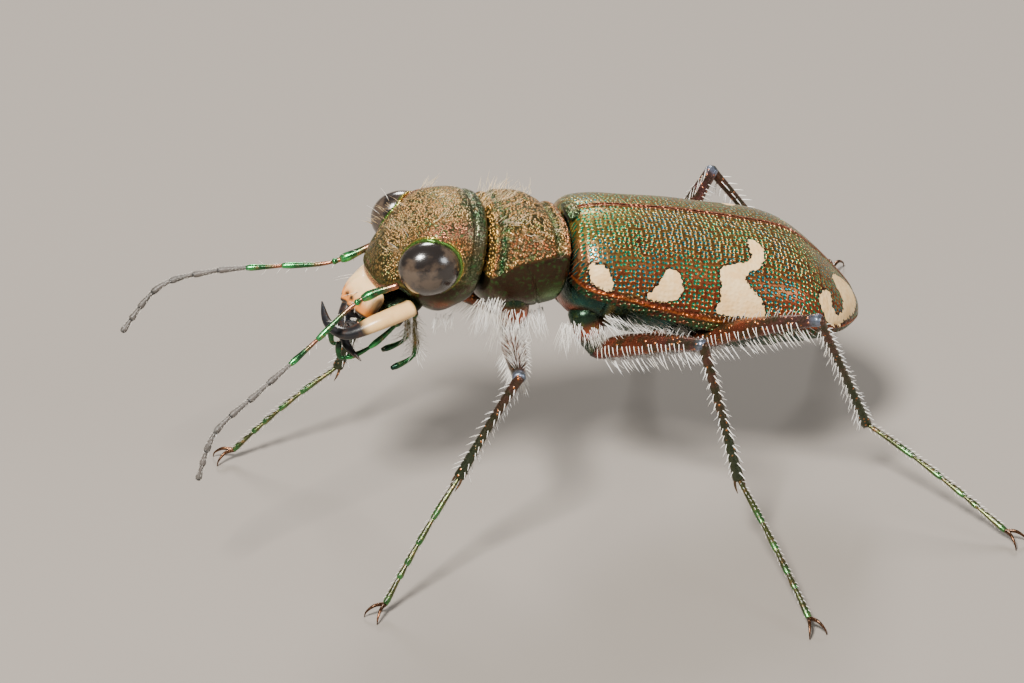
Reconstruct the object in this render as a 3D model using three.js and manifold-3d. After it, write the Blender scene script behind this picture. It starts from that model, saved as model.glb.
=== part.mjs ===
// A tiger beetle at life size, standing on the floor.
// Millimetres, +Z up. The head points along -X and the beetle's left side is at -Y.
// The origin is on the floor, under the middle of the whole animal.
import * as THREE from "three";
import { LoftGeometry } from "three/addons/geometries/LoftGeometry.js";
import { mergeVertices } from "three/addons/utils/BufferGeometryUtils.js";
import Module from "manifold-3d";

const manifold = await Module();
manifold.setup();

// Stance: the body's own origin is at the base of the wing cases, with x towards the tail.
const BODY_PITCH = 13.5; // degrees, nose up
const BODY_HEIGHT = 6.78; // body origin over the floor
const MIDDLE_X = -0.25; // middle of the animal's box, from the body origin
const MIDDLE_Y = -0.42;

// Fit
const GAP = 0.2; // between one piece and the next
const THIN = 0.25; // least radius of a limb, short of its tip
const MERGE = 1e-4; // points closer than this are one
const FINEST = 0.008; // surface detail smaller than this is smoothed away

// Wing cases, in the body's frame
const CASE_FROM = 0.1;
const CASE_TO = 9.15;
const CASE_SHELL = 0.5; // wall
const CASE_EDGE = 0.25; // drop of the edge under the widest line
const CASE_CROWN = 0.96; // under 1, the cross-section is squarer than an oval
const CAVITY_TO = 8.6;
const CASE_WIDE = through([0.1, 1.5], [0.3, 1.88], [0.6, 2.06], [1.2, 2.16], [3.2, 2.38], [5.4, 2.55],
  [6.9, 2.4], [8.0, 1.95], [8.7, 1.27], [9.0, 0.76], [9.15, 0.18]);
const CASE_LINE = through([0, 0.42], [1.2, 0.3], [2.6, 0.06], [4.4, -0.15], [6.5, -0.16], [7.8, -0.34], [9.15, -0.55]);
const CASE_RISE = through([0.1, 1.4], [1.6, 1.78], [3.5, 2.02], [5, 1.99], [6.5, 1.74], [7.6, 1.28],
  [8.4, 0.78], [8.9, 0.4], [9.15, 0.12]);

// Abdomen and thorax
const ABDOMEN_FROM = 3.75;
const ABDOMEN_TO = 8.6;
const ABDOMEN_DEEP = through([3.75, 1.45], [5.5, 1.4], [7.3, 1], [8.6, 0.45]);
const THORAX_FROM = 0.1;
const THORAX_TO = 3.55;
const THORAX_WIDE = through([0.1, 1.35], [0.9, 1.6], [2, 1.74], [3.55, 1.76]);
const THORAX_TOP = 1.15;
const THORAX_FLOOR = through([0.1, -0.95], [0.8, -1.3], [1.8, -1.52], [2.8, -1.6], [3.55, -1.5]);
const SCUTELLUM = { from: -0.02, to: 0.58, halfWidth: 0.42, top: 1.86, thick: 0.5 };

// Prothorax
const PROTHORAX_FROM = -2.45;
const PROTHORAX_TO = -0.1;
const PROTHORAX_WIDE = through([-2.45, 1.48], [-2.1, 1.57], [-1.5, 1.67], [-0.9, 1.67], [-0.4, 1.56], [-0.1, 1.5]);
const PROTHORAX_TOP = through([-2.45, 1.97], [-1.8, 1.99], [-1.1, 1.9], [-0.5, 1.7], [-0.1, 1.66]);
const PROTHORAX_FLOOR = through([-2.45, -0.72], [-1.9, -0.98], [-1, -0.98], [-0.1, -0.75]);

// Head, with the eyes sunk in its sides
const HEAD_FROM = -5.42;
const HEAD_TO = -2.65;
const HEAD_WIDE = through([-5.42, 0.62], [-5.2, 0.92], [-4.9, 1.1], [-4.2, 1.38], [-3.4, 1.5], [-2.65, 1.36]);
const HEAD_TOP = through([-5.42, -0.05], [-5.28, 0.4], [-5.1, 0.84], [-4.85, 1.28], [-4.5, 1.68], [-4.1, 1.93],
  [-3.4, 2.06], [-2.65, 2.02]);
const HEAD_FLOOR = through([-5.42, -0.42], [-5, -0.62], [-4.5, -0.78], [-4, -1.12], [-3.4, -1.33], [-2.9, -1.08],
  [-2.65, -0.85]);
const EYE = { x: -4.22, y: 1.42, z: 0.58, long: 0.93, out: 0.66, high: 0.8 };

// Mouth: root line and free edge of the labrum, and the middle line of each mandible and palp
const LABRUM_WIDE = 0.86;
const LABRUM_THICK = 0.34;
const MANDIBLE = {
  left: [[-4.3, -1.08, -1.08], [-5.2, -1.3, -1.42], [-5.95, -1.12, -1.82], [-6.36, -0.6, -1.82], [-6.4, 0.12, -1.55]],
  right: [[-4.3, 0.95, -1.07], [-4.94, 1, -1.42], [-5.31, 0.8, -1.87], [-5.57, 0.35, -2.29], [-5.62, -0.35, -2.56],
    [-5.33, -1, -2.72]],
};
const MANDIBLE_TEETH = [0.56, 0.68, 0.8]; // places along the blade
const PALP = {
  maxillary: [[-4.3, 0.85, -1.35], [-4.9, 0.62, -2.38], [-5.32, 0.42, -2.88], [-5.72, 0.38, -2.98], [-5.86, 0.42, -2.5]],
  labial: [[-3.95, 0.42, -1.2], [-3.78, 0.42, -1.9], [-3.62, 0.45, -2.75], [-4.2, 0.5, -3.2]],
};

// Antennae, jointed: the middle line of each, in the body's frame, and the length of its eleven joints
const ANTENNA = {
  left: [[-4.88, -1.25, -0.17], [-5.85, -1.18, -0.76], [-6.93, -1.5, -1.89], [-7.57, -1.75, -2.47], [-8.55, -2.15, -3.31],
    [-9.59, -2.55, -4.3], [-9.89, -2.85, -5.62]],
  right: [[-5.14, 1.05, -0.19], [-6.06, 1.05, -0.83], [-7.38, 1.4, -1.22], [-9.04, 1.82, -1.72], [-10.43, 1.98, -2.38],
    [-11.32, 1.7, -3.7]],
};
const ANTENNA_JOINTS = [1, 0.24, 1.4, 1, 0.8, 0.7, 0.64, 0.6, 0.55, 0.4, 0.4];
const ANTENNA_METAL_JOINTS = 4; // the bright joints, up to the dull ones
const ANTENNA_RADIUS = 0.25;
const ANTENNA_TIP_RADIUS = 0.13;

// Legs: each coxa's root in the body's frame, then hip, knee, ankle and toe over the floor
const COXA_ROOT = { fore: [-1.42, 1.0, -0.35], mid: [0.75, 1.05, -0.9], hind: [2.75, 0.95, -1.0] };
const COXA_RADIUS = { fore: 0.56, mid: 0.52, hind: 0.52 };
const LEGS = {
  left_fore: { hip: [-1.48, -0.81, 5.21], knee: [-2.1, -3.75, 5.78], ankle: [-3.92, -4.1, 3.17], toe: [-6.45, -5.4, 0.3] },
  left_mid: { hip: [0.8, -1.35, 4.71], knee: [3.05, -4, 6.03], ankle: [3.69, -5.2, 2.32], toe: [4.36, -9.45, 0.3] },
  left_hind: { hip: [3, -1.38, 4.49], knee: [6.26, -4.35, 6.44], ankle: [8.13, -3, 1.93], toe: [10.89, -7, 0.3] },
  right_fore: { hip: [-1.48, 0.81, 5.3], knee: [-3.77, 3.46, 5.56], ankle: [-5.41, 3.3, 2.55], toe: [-8.53, 3.35, 0.3] },
  right_mid: { hip: [0.8, 1.35, 4.71], knee: [3.15, 3.9, 5.7], ankle: [3.9, 5.1, 2.05], toe: [5.3, 8.6, 0.3] },
  right_hind: { hip: [3, 1.38, 4.49], knee: [5.94, 4.33, 6.38], ankle: [8.8, 3.9, 2.1], toe: [10.8, 7.8, 0.3] },
};
const FEMUR_RADII = [[0, 0.3], [0.15, 0.33], [0.4, 0.34], [0.75, 0.27], [1, 0.27]];
const TIBIA_RADII = [[0, THIN], [0.5, THIN], [1, 0.27]];
const TARSUS_RADII = [[0, THIN], [0.6, 0.23], [1, 0.2]];
const CLAW_LENGTH = 0.62;
const CLAW_RADII = [[0, 0.15], [0.6, 0.12], [1, 0.07]];
const CLAW_SPLAY = 26; // degrees to each side of the tarsus

// Finishes: colour, roughness, metalness
const FINISHES = {
  copper: [0x7a4a2c, 0.4, 0.7],
  bronze: [0x6d5538, 0.45, 0.7],
  dark_green: [0x1d3a2c, 0.4, 0.6],
  eye: [0x2b221d, 0.15, 0],
  ivory: [0xe0c593, 0.5, 0],
  black: [0x17130f, 0.3, 0.2],
  green: [0x2f6b47, 0.35, 0.7],
  grey: [0x55504a, 0.8, 0.1],
};

const bodyToFloor = new THREE.Matrix4()
  .makeTranslation(0, 0, BODY_HEIGHT)
  .multiply(new THREE.Matrix4().makeRotationY(THREE.MathUtils.degToRad(BODY_PITCH)));

// A smooth curve through a few sizes, as a function of place.
function through(...knots) {
  const curve = new THREE.CubicInterpolant(
    knots.map(([place]) => place),
    knots.map(([, size]) => size),
    1,
  );
  return (place) => curve.evaluate(place)[0];
}

const point = ([x, y, z]) => new THREE.Vector3(x, y, z);
const bodyPoint = (place) => point(place).applyMatrix4(bodyToFloor);
const signedPower = (value, power) => Math.sign(value) * Math.abs(value) ** power;

function toSolid(geometry) {
  const shape = new THREE.BufferGeometry();
  shape.setAttribute("position", geometry.getAttribute("position"));
  shape.setIndex(geometry.index);
  const merged = mergeVertices(shape, MERGE);
  return new manifold.Manifold(
    new manifold.Mesh({
      numProp: 3,
      vertProperties: merged.attributes.position.array,
      triVerts: new Uint32Array(merged.index.array),
    }),
  );
}

// A closed form lofted along the body through oval rings: half width, height of the widest line,
// reach above it and below it. It is larger all over by grow.
function bodySolid({ from, to, wide, line, up, down, crown = 1, ring = 24, steps = 10, grow = 0 }) {
  const sections = [];
  for (let i = 0; i <= steps; i++) {
    const along = (1 - Math.cos((Math.PI * i) / steps)) / 2;
    const place = from + (to - from) * along;
    const x = place + grow * (2 * along - 1);
    const section = [];
    for (let j = 0; j < ring; j++) {
      const angle = (2 * Math.PI * j) / ring;
      const y = (wide(place) + grow) * signedPower(Math.cos(angle), crown);
      const reach = (Math.sin(angle) > 0 ? up(place) : down(place)) + grow;
      section.push(new THREE.Vector3(x, y, line(place) + reach * signedPower(Math.sin(angle), crown)));
    }
    sections.push(section);
  }
  const geometry = new LoftGeometry(sections, { capStart: true, capEnd: true });
  return toSolid(geometry.applyMatrix4(bodyToFloor));
}

// A round limb along a smooth middle line, with its radius at places from 0 to 1 along it.
function limbSolid(places, radii, { ring = 8, steps = 8, grow = 0 } = {}) {
  const middle = new THREE.CatmullRomCurve3(places, false, "centripetal");
  const radius = through(...radii);
  const sections = [];
  for (let i = 0; i <= steps; i++) {
    const along = i / steps;
    const tangent = middle.getTangentAt(along);
    const centre = middle.getPointAt(along).addScaledVector(tangent, grow * (2 * along - 1));
    const side = new THREE.Vector3(0, 0, 1).cross(tangent).normalize();
    const rise = tangent.clone().cross(side);
    const section = [];
    for (let j = 0; j < ring; j++) {
      const angle = (2 * Math.PI * j) / ring;
      const out = radius(along) + grow;
      section.push(
        centre.clone().addScaledVector(side, out * Math.cos(angle)).addScaledVector(rise, out * Math.sin(angle)),
      );
    }
    sections.push(section);
  }
  return toSolid(new LoftGeometry(sections, { capStart: true, capEnd: true }));
}

function largest(solid) {
  return solid.decompose().reduce((most, other) => (other.volume() > most.volume() ? other : most));
}

function addNode(group, name, solid, finish) {
  const { vertProperties, triVerts } = largest(solid.simplify(FINEST)).getMesh();
  const geometry = new THREE.BufferGeometry();
  geometry.setAttribute("position", new THREE.BufferAttribute(vertProperties, 3));
  geometry.setIndex(new THREE.BufferAttribute(triVerts, 1));
  geometry.computeVertexNormals();
  const [color, roughness, metalness] = FINISHES[finish];
  const mesh = new THREE.Mesh(geometry, new THREE.MeshStandardMaterial({ color, roughness, metalness }));
  mesh.name = name;
  group.add(mesh);
}

// Wing cases: one domed shell, open below, parted down the middle.
function caseDome(grow, depth, to = CASE_TO) {
  return bodySolid({
    from: CASE_FROM, to, wide: CASE_WIDE, line: CASE_LINE, up: CASE_RISE, down: () => depth,
    crown: CASE_CROWN, ring: 36, steps: 16, grow,
  });
}

function scutellumSolid(grow) {
  const { from, to, halfWidth, top, thick } = SCUTELLUM;
  const outline = new THREE.Shape([
    new THREE.Vector2(from - grow, -halfWidth - grow),
    new THREE.Vector2(to + 2 * grow, 0),
    new THREE.Vector2(from - grow, halfWidth + grow),
  ]);
  const geometry = new THREE.ExtrudeGeometry(outline, { depth: thick + 2 * grow, bevelEnabled: false });
  geometry.translate(0, 0, top - thick - grow);
  return toSolid(geometry.applyMatrix4(bodyToFloor));
}

function addWingCases(group) {
  const cavityDepth = 3;
  const shell = caseDome(0, CASE_EDGE)
    .subtract(caseDome(-CASE_SHELL, cavityDepth, CAVITY_TO))
    .subtract(scutellumSolid(GAP));
  for (const [side, sign] of [["left", -1], ["right", 1]]) {
    addNode(group, `elytron_${side}`, shell.trimByPlane([0, sign, 0], GAP / 2), "copper");
  }
  addNode(group, "scutellum", scutellumSolid(0), "bronze");
}

// What the wing cases keep clear of the trunk beneath them.
function caseRoom() {
  const cavityDepth = 3;
  return caseDome(GAP, CASE_EDGE).subtract(caseDome(-CASE_SHELL - GAP, cavityDepth, CAVITY_TO));
}

function abdomenSolid(grow = 0) {
  const inset = CASE_SHELL + 1.5 * GAP;
  return bodySolid({
    from: ABDOMEN_FROM, to: ABDOMEN_TO,
    wide: (x) => CASE_WIDE(x) - inset,
    line: CASE_LINE,
    up: (x) => Math.max(CASE_RISE(x) - inset, 0.1),
    down: ABDOMEN_DEEP,
    crown: CASE_CROWN, ring: 24, steps: 9, grow,
  });
}

function thoraxSolid(grow = 0) {
  return bodySolid({
    from: THORAX_FROM, to: THORAX_TO, wide: THORAX_WIDE,
    line: () => 0,
    up: () => THORAX_TOP,
    down: (x) => -THORAX_FLOOR(x),
    crown: 0.8, ring: 24, steps: 7, grow,
  });
}

function prothoraxSolid(grow = 0) {
  const line = 0.55;
  return bodySolid({
    from: PROTHORAX_FROM, to: PROTHORAX_TO, wide: PROTHORAX_WIDE,
    line: () => line,
    up: (x) => PROTHORAX_TOP(x) - line,
    down: (x) => line - PROTHORAX_FLOOR(x),
    crown: 0.88, ring: 28, steps: 9, grow,
  });
}

function headSolid(grow = 0) {
  const line = (x) => 0.4 * HEAD_FLOOR(x) + 0.6 * HEAD_TOP(x) - 0.35;
  return bodySolid({
    from: HEAD_FROM, to: HEAD_TO, wide: HEAD_WIDE, line,
    up: (x) => HEAD_TOP(x) - line(x),
    down: (x) => line(x) - HEAD_FLOOR(x),
    crown: 0.85, ring: 28, steps: 13, grow,
  });
}

function eyeSolid(sign, grow = 0) {
  const geometry = new THREE.SphereGeometry(1, 16, 10);
  geometry.scale(EYE.long + grow, EYE.out + grow, EYE.high + grow);
  geometry.translate(EYE.x, sign * EYE.y, EYE.z);
  return toSolid(geometry.applyMatrix4(bodyToFloor));
}

// Labrum: a curved plate over the mandibles, with one blunt tooth in the middle of its free edge.
function labrumSolid(grow = 0) {
  const steps = 10;
  const sections = [];
  for (let i = 0; i <= steps; i++) {
    const t = (2 * i) / steps - 1;
    const tooth = 0.14 * Math.max(0, 1 - Math.abs(t) * 3.5);
    const root = new THREE.Vector2(-5.28 + 0.26 * t * t, -0.66 - 0.1 * t * t);
    const edge = new THREE.Vector2(-5.78 - tooth + 0.62 * t * t, -1.38 - 0.06 * t * t);
    const down = edge.clone().sub(root).normalize();
    const back = new THREE.Vector2(-down.y, down.x).multiplyScalar(LABRUM_THICK / 2 + grow);
    const corners = [
      root.clone().addScaledVector(down, -grow).sub(back), root.clone().addScaledVector(down, -grow).add(back),
      edge.clone().addScaledVector(down, grow).add(back), edge.clone().addScaledVector(down, grow).sub(back),
    ];
    const y = t * (LABRUM_WIDE + grow);
    sections.push(corners.map((corner) => new THREE.Vector3(corner.x, y, corner.y)));
  }
  return toSolid(new LoftGeometry(sections, { capStart: true, capEnd: true }).applyMatrix4(bodyToFloor));
}

// Mandible: a sickle that tapers to a sharp tip, with teeth along its inner side.
function mandibleSolid(side, grow = 0) {
  const places = MANDIBLE[side].map(bodyPoint);
  const radii = [[0, 0.34], [0.35, 0.3], [0.6, 0.24], [0.85, 0.16], [1, 0.06]];
  const middle = new THREE.CatmullRomCurve3(places, false, "centripetal");
  const mouth = bodyPoint([-5.5, 0, -2]);
  let blade = limbSolid(places, radii, { ring: 8, steps: 10, grow });
  for (const along of MANDIBLE_TEETH) {
    const root = middle.getPointAt(along);
    const inward = mouth.clone().sub(root).normalize();
    const tip = root.clone().addScaledVector(inward, 0.5 - 0.25 * along);
    blade = blade.add(limbSolid([root, tip], [[0, 0.15 + grow], [1, 0.05 + grow]], { ring: 5, steps: 2 }));
  }
  return blade;
}

function palpSolid(kind, sign, grow = 0) {
  const places = PALP[kind].map(([x, y, z]) => bodyPoint([x, sign * y, z]));
  return limbSolid(places, [[0, THIN], [0.7, THIN], [1, 0.2]], { ring: 7, steps: 9, grow });
}

// Antenna: the joints run from one length to another, each a little swollen at its far end.
function antennaSolid(side, first, last, grow = 0) {
  const total = ANTENNA_JOINTS.reduce((sum, length) => sum + length, 0);
  const start = ANTENNA_JOINTS.slice(0, first).reduce((sum, length) => sum + length, 0);
  const middle = new THREE.CatmullRomCurve3(ANTENNA[side].map(bodyPoint), false, "centripetal");
  const places = [];
  const radii = [];
  let length = start;
  const end = ANTENNA_JOINTS.slice(0, last).reduce((sum, joint) => sum + joint, 0);
  for (let joint = first; joint < last; joint++) {
    for (const part of [0, 0.5]) {
      const along = (length + part * ANTENNA_JOINTS[joint]) / total;
      const taper = THREE.MathUtils.lerp(ANTENNA_RADIUS, ANTENNA_TIP_RADIUS, along ** 3);
      places.push(middle.getPointAt(along));
      radii.push([(length + part * ANTENNA_JOINTS[joint] - start) / (end - start), taper]);
    }
    length += ANTENNA_JOINTS[joint];
  }
  places.push(middle.getPointAt(end / total));
  radii.push([1, last === ANTENNA_JOINTS.length ? ANTENNA_TIP_RADIUS : ANTENNA_RADIUS]);
  return limbSolid(places, radii, { ring: 7, steps: 2 * (last - first), grow });
}

function addHead(group) {
  const head = headSolid().subtract(eyeSolid(-1, GAP)).subtract(eyeSolid(1, GAP));
  const headRoom = headSolid(GAP);
  const labrum = labrumSolid().subtract(headRoom);
  const labrumRoom = labrumSolid(GAP);
  addNode(group, "head", head, "bronze");
  addNode(group, "labrum", labrum, "ivory");
  const leftMandible = mandibleSolid("left").subtract(headRoom).subtract(labrumRoom);
  const rightMandible = mandibleSolid("right").subtract(headRoom).subtract(labrumRoom)
    .subtract(mandibleSolid("left", GAP));
  addNode(group, "mandible_left", leftMandible, "black");
  addNode(group, "mandible_right", rightMandible, "black");
  const mandibleRoom = mandibleSolid("left", GAP).add(mandibleSolid("right", GAP));
  for (const [side, sign] of [["left", -1], ["right", 1]]) {
    addNode(group, `eye_${side}`, eyeSolid(sign), "eye");
    const maxillary = palpSolid("maxillary", sign).subtract(headRoom).subtract(mandibleRoom);
    addNode(group, `palp_maxillary_${side}`, maxillary, "green");
    const labial = palpSolid("labial", sign).subtract(headRoom).subtract(palpSolid("maxillary", sign, GAP));
    addNode(group, `palp_labial_${side}`, labial, "green");
    const last = ANTENNA_JOINTS.length;
    const base = antennaSolid(side, 0, ANTENNA_METAL_JOINTS).subtract(headRoom).subtract(eyeSolid(sign, GAP));
    addNode(group, `antenna_${side}_base`, base, "green");
    const tip = antennaSolid(side, ANTENNA_METAL_JOINTS, last)
      .subtract(antennaSolid(side, 0, ANTENNA_METAL_JOINTS, GAP));
    addNode(group, `antenna_${side}_tip`, tip, "grey");
  }
}

function addTrunk(group) {
  addNode(group, "prothorax", prothoraxSolid(), "bronze");
  addNode(group, "thorax", thoraxSolid().subtract(caseRoom()), "dark_green");
  addNode(group, "abdomen", abdomenSolid().subtract(caseRoom()), "dark_green");
}

// A point part of the way along a straight line, lifted to bow the limb upwards.
function bowed(start, end, lift) {
  const middle = start.clone().lerp(end, 0.5);
  middle.z += lift;
  return [start, middle, end];
}

// The foot: two claws that splay from the toe, each ending in a small flat on the floor.
function clawSolids(ankle, toe) {
  const ahead = toe.clone().sub(ankle).setZ(0).normalize();
  return [-CLAW_SPLAY, CLAW_SPLAY].map((degrees) => {
    const out = ahead.clone().applyAxisAngle(new THREE.Vector3(0, 0, 1), THREE.MathUtils.degToRad(degrees));
    const bend = toe.clone().addScaledVector(out, CLAW_LENGTH * 0.6);
    const tip = toe.clone().addScaledVector(out, CLAW_LENGTH).setZ(-0.1);
    const root = toe.clone().addScaledVector(ahead, -0.25).addScaledVector(out, 0.12);
    return limbSolid([root, bend, tip], CLAW_RADII, { ring: 6, steps: 5 });
  });
}

function addLeg(group, name, joints) {
  const [side, pair] = name.split("_");
  const sign = side === "left" ? -1 : 1;
  const [hip, knee, ankle, toe] = [joints.hip, joints.knee, joints.ankle, joints.toe].map(point);
  const [rootX, rootY, rootZ] = COXA_ROOT[pair];
  const root = bodyPoint([rootX, sign * rootY, rootZ]);
  const trunkRoom = pair === "fore" ? prothoraxSolid(GAP) : thoraxSolid(GAP).add(abdomenSolid(GAP));
  const coxaRadii = [[0, COXA_RADIUS[pair]], [0.6, COXA_RADIUS[pair] - 0.06], [1, COXA_RADIUS[pair] - 0.18]];
  const coxa = (grow) => limbSolid([root, hip], coxaRadii, { ring: 10, steps: 4, grow });
  const femur = (grow) => limbSolid(bowed(hip, knee, 0.12), FEMUR_RADII, { ring: 10, steps: 8, grow });
  const tibia = (grow) => limbSolid(bowed(knee, ankle, 0.05), TIBIA_RADII, { ring: 8, steps: 6, grow });
  const tarsus = limbSolid(bowed(ankle, toe, 0.12), TARSUS_RADII, { ring: 8, steps: 8 });
  const [inner, outer] = clawSolids(ankle, toe);
  addNode(group, `${name}_coxa`, coxa(0).subtract(trunkRoom), "bronze");
  const thigh = femur(0).subtract(coxa(GAP)).subtract(trunkRoom).subtract(caseDome(GAP, CASE_EDGE));
  addNode(group, `${name}_femur`, thigh, "copper");
  addNode(group, `${name}_tibia`, tibia(0).subtract(femur(GAP)), "bronze");
  const foot = tarsus.add(inner).add(outer).subtract(tibia(GAP)).trimByPlane([0, 0, 1], 0);
  addNode(group, `${name}_tarsus`, foot, "green");
}

const beetle = new THREE.Group();
addHead(beetle);
addTrunk(beetle);
addWingCases(beetle);
for (const [name, joints] of Object.entries(LEGS)) addLeg(beetle, name, joints);
beetle.position.set(-MIDDLE_X, -MIDDLE_Y, 0);

export default beetle;
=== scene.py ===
import bisect
import math
import random

import bmesh
import bpy
import numpy as np
from mathutils import Matrix, Vector, noise


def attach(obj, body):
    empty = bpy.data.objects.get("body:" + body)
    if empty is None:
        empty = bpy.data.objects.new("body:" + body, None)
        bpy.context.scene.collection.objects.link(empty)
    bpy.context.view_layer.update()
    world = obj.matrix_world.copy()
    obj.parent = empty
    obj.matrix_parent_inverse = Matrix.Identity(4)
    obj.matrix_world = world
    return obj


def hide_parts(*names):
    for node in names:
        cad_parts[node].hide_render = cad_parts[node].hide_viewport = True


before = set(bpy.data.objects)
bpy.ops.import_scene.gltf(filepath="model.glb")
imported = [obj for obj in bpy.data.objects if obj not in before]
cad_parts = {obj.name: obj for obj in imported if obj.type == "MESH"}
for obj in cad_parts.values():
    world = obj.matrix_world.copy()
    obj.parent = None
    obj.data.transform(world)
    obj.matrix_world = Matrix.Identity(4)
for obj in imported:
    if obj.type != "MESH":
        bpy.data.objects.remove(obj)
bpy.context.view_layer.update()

# A tiger beetle at life size. Lengths are in millimetres, and those of the studio in metres.
SEED = 7
draw = random.Random(SEED)

MM = 0.001
SHARED = Matrix.Scale(MM, 4)
BODY_PITCH = 13.5  # degrees, nose up
BODY_HEIGHT = 6.78
MIDDLE = (-0.25, -0.42)
FLOOR = SHARED @ Matrix.Translation((-MIDDLE[0], -MIDDLE[1], 0))
BODY = FLOOR @ Matrix.Translation((0, 0, BODY_HEIGHT))
BODY = BODY @ Matrix.Rotation(math.radians(BODY_PITCH), 4, "Y")
BODY_TO_SHARED = Matrix.Scale(1 / MM, 4) @ BODY


def through(*knots):
    """A smooth curve through a few sizes, as a function of place."""
    places = [knot[0] for knot in knots]
    sizes = [knot[1] for knot in knots]
    last = len(knots) - 1
    slopes = []
    for i in range(last + 1):
        low = max(i - 1, 0)
        high = min(i + 1, last)
        slopes.append((sizes[high] - sizes[low]) / (places[high] - places[low]))

    def size(place):
        place = min(max(place, places[0]), places[-1])
        i = min(max(bisect.bisect_right(places, place) - 1, 0), last - 1)
        span = places[i + 1] - places[i]
        t = (place - places[i]) / span
        rise = t * t * (3 - 2 * t)
        start = slopes[i] * span * (t ** 3 - 2 * t * t + t)
        end = slopes[i + 1] * span * (t ** 3 - t * t)
        return sizes[i] * (1 - rise) + sizes[i + 1] * rise + start + end

    return size


def step(low, high, value):
    """0 below low, 1 above high, smooth between."""
    t = min(max((value - low) / (high - low), 0), 1)
    return t * t * (3 - 2 * t)


def ridge(place, centre, half):
    """A smooth bump of height 1 at centre, gone at half away."""
    return 1 - step(0, half, abs(place - centre))


def signed_power(value, power):
    return math.copysign(abs(value) ** power, value)


def mix(a, b, t):
    return tuple(x * (1 - t) + y * t for x, y in zip(a, b))


# Camera: the photograph's angle, from the beetle's left and in front, above it
CAMERA_TURN = 15.6
CAMERA_RISE = 31.9
CAMERA_ROLL = 0.9
CAMERA_DISTANCE = 180
CAMERA_ACROSS = -1.19
CAMERA_UP = 3.69
CAMERA_LENS = 224.8
SENSOR_WIDTH = 36


def add_camera():
    turn, rise, roll = (math.radians(a) for a in (CAMERA_TURN, CAMERA_RISE, CAMERA_ROLL))
    back = Vector((-math.sin(turn) * math.cos(rise), -math.cos(turn) * math.cos(rise), math.sin(rise)))
    right = Vector((math.cos(turn), -math.sin(turn), 0))
    up = back.cross(right)
    place = FLOOR @ (back * CAMERA_DISTANCE + right * CAMERA_ACROSS + up * CAMERA_UP)
    rolled_right = right * math.cos(roll) - up * math.sin(roll)
    rolled_up = right * math.sin(roll) + up * math.cos(roll)
    camera_data = bpy.data.cameras.new("camera")
    camera_data.lens = CAMERA_LENS
    camera_data.sensor_width = SENSOR_WIDTH
    camera_data.clip_start = 0.001
    camera_data.clip_end = 10
    camera = bpy.data.objects.new("camera", camera_data)
    bpy.context.collection.objects.link(camera)
    turned = Matrix((rolled_right, rolled_up, back)).transposed().to_4x4()
    camera.matrix_world = Matrix.Translation(place) @ turned
    bpy.context.scene.camera = camera


# The studio: a pale floor, a grey sky and three round lights, each with place, size, watts and colour
FLOOR_HALF = 1.5
FLOOR_COLOR = (0.23, 0.205, 0.18, 1)
SKY_COLOR = (0.84, 0.82, 0.78, 1)
SKY_STRENGTH = 0.22
LIGHT_AIM = Vector((0, 0, 0.005))
LIGHTS = {
    "key": ((-0.09, -0.10, 0.22), 0.06, 1.75, (1, 0.96, 0.9)),
    "fill": ((0.22, -0.16, 0.12), 0.10, 0.30, (0.92, 0.96, 1)),
    "rim": ((0.06, 0.22, 0.16), 0.08, 0.7, (1, 0.97, 0.93)),
}


def add_light(name, place, size, power, color):
    light_data = bpy.data.lights.new(name, "AREA")
    light_data.shape = "DISK"
    light_data.size = size
    light_data.energy = power
    light_data.color = color
    light = bpy.data.objects.new(name, light_data)
    bpy.context.collection.objects.link(light)
    light.location = place
    aim = LIGHT_AIM - Vector(place)
    light.rotation_euler = aim.to_track_quat("-Z", "Y").to_euler()


def add_studio():
    bm = bmesh.new()
    bmesh.ops.create_grid(bm, x_segments=1, y_segments=1, size=FLOOR_HALF)
    mesh = bpy.data.meshes.new("floor")
    bm.to_mesh(mesh)
    bm.free()
    floor = bpy.data.objects.new("floor", mesh)
    bpy.context.collection.objects.link(floor)
    material = bpy.data.materials.new("pale_floor")
    material.use_nodes = True
    shader = material.node_tree.nodes["Principled BSDF"]
    shader.inputs["Base Color"].default_value = FLOOR_COLOR
    shader.inputs["Roughness"].default_value = 0.8
    mesh.materials.append(material)
    for name, settings in LIGHTS.items():
        add_light(name, *settings)
    world = bpy.data.worlds.new("studio")
    world.use_nodes = True
    sky = world.node_tree.nodes["Background"]
    sky.inputs["Color"].default_value = SKY_COLOR
    sky.inputs["Strength"].default_value = SKY_STRENGTH
    bpy.context.scene.world = world


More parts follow.
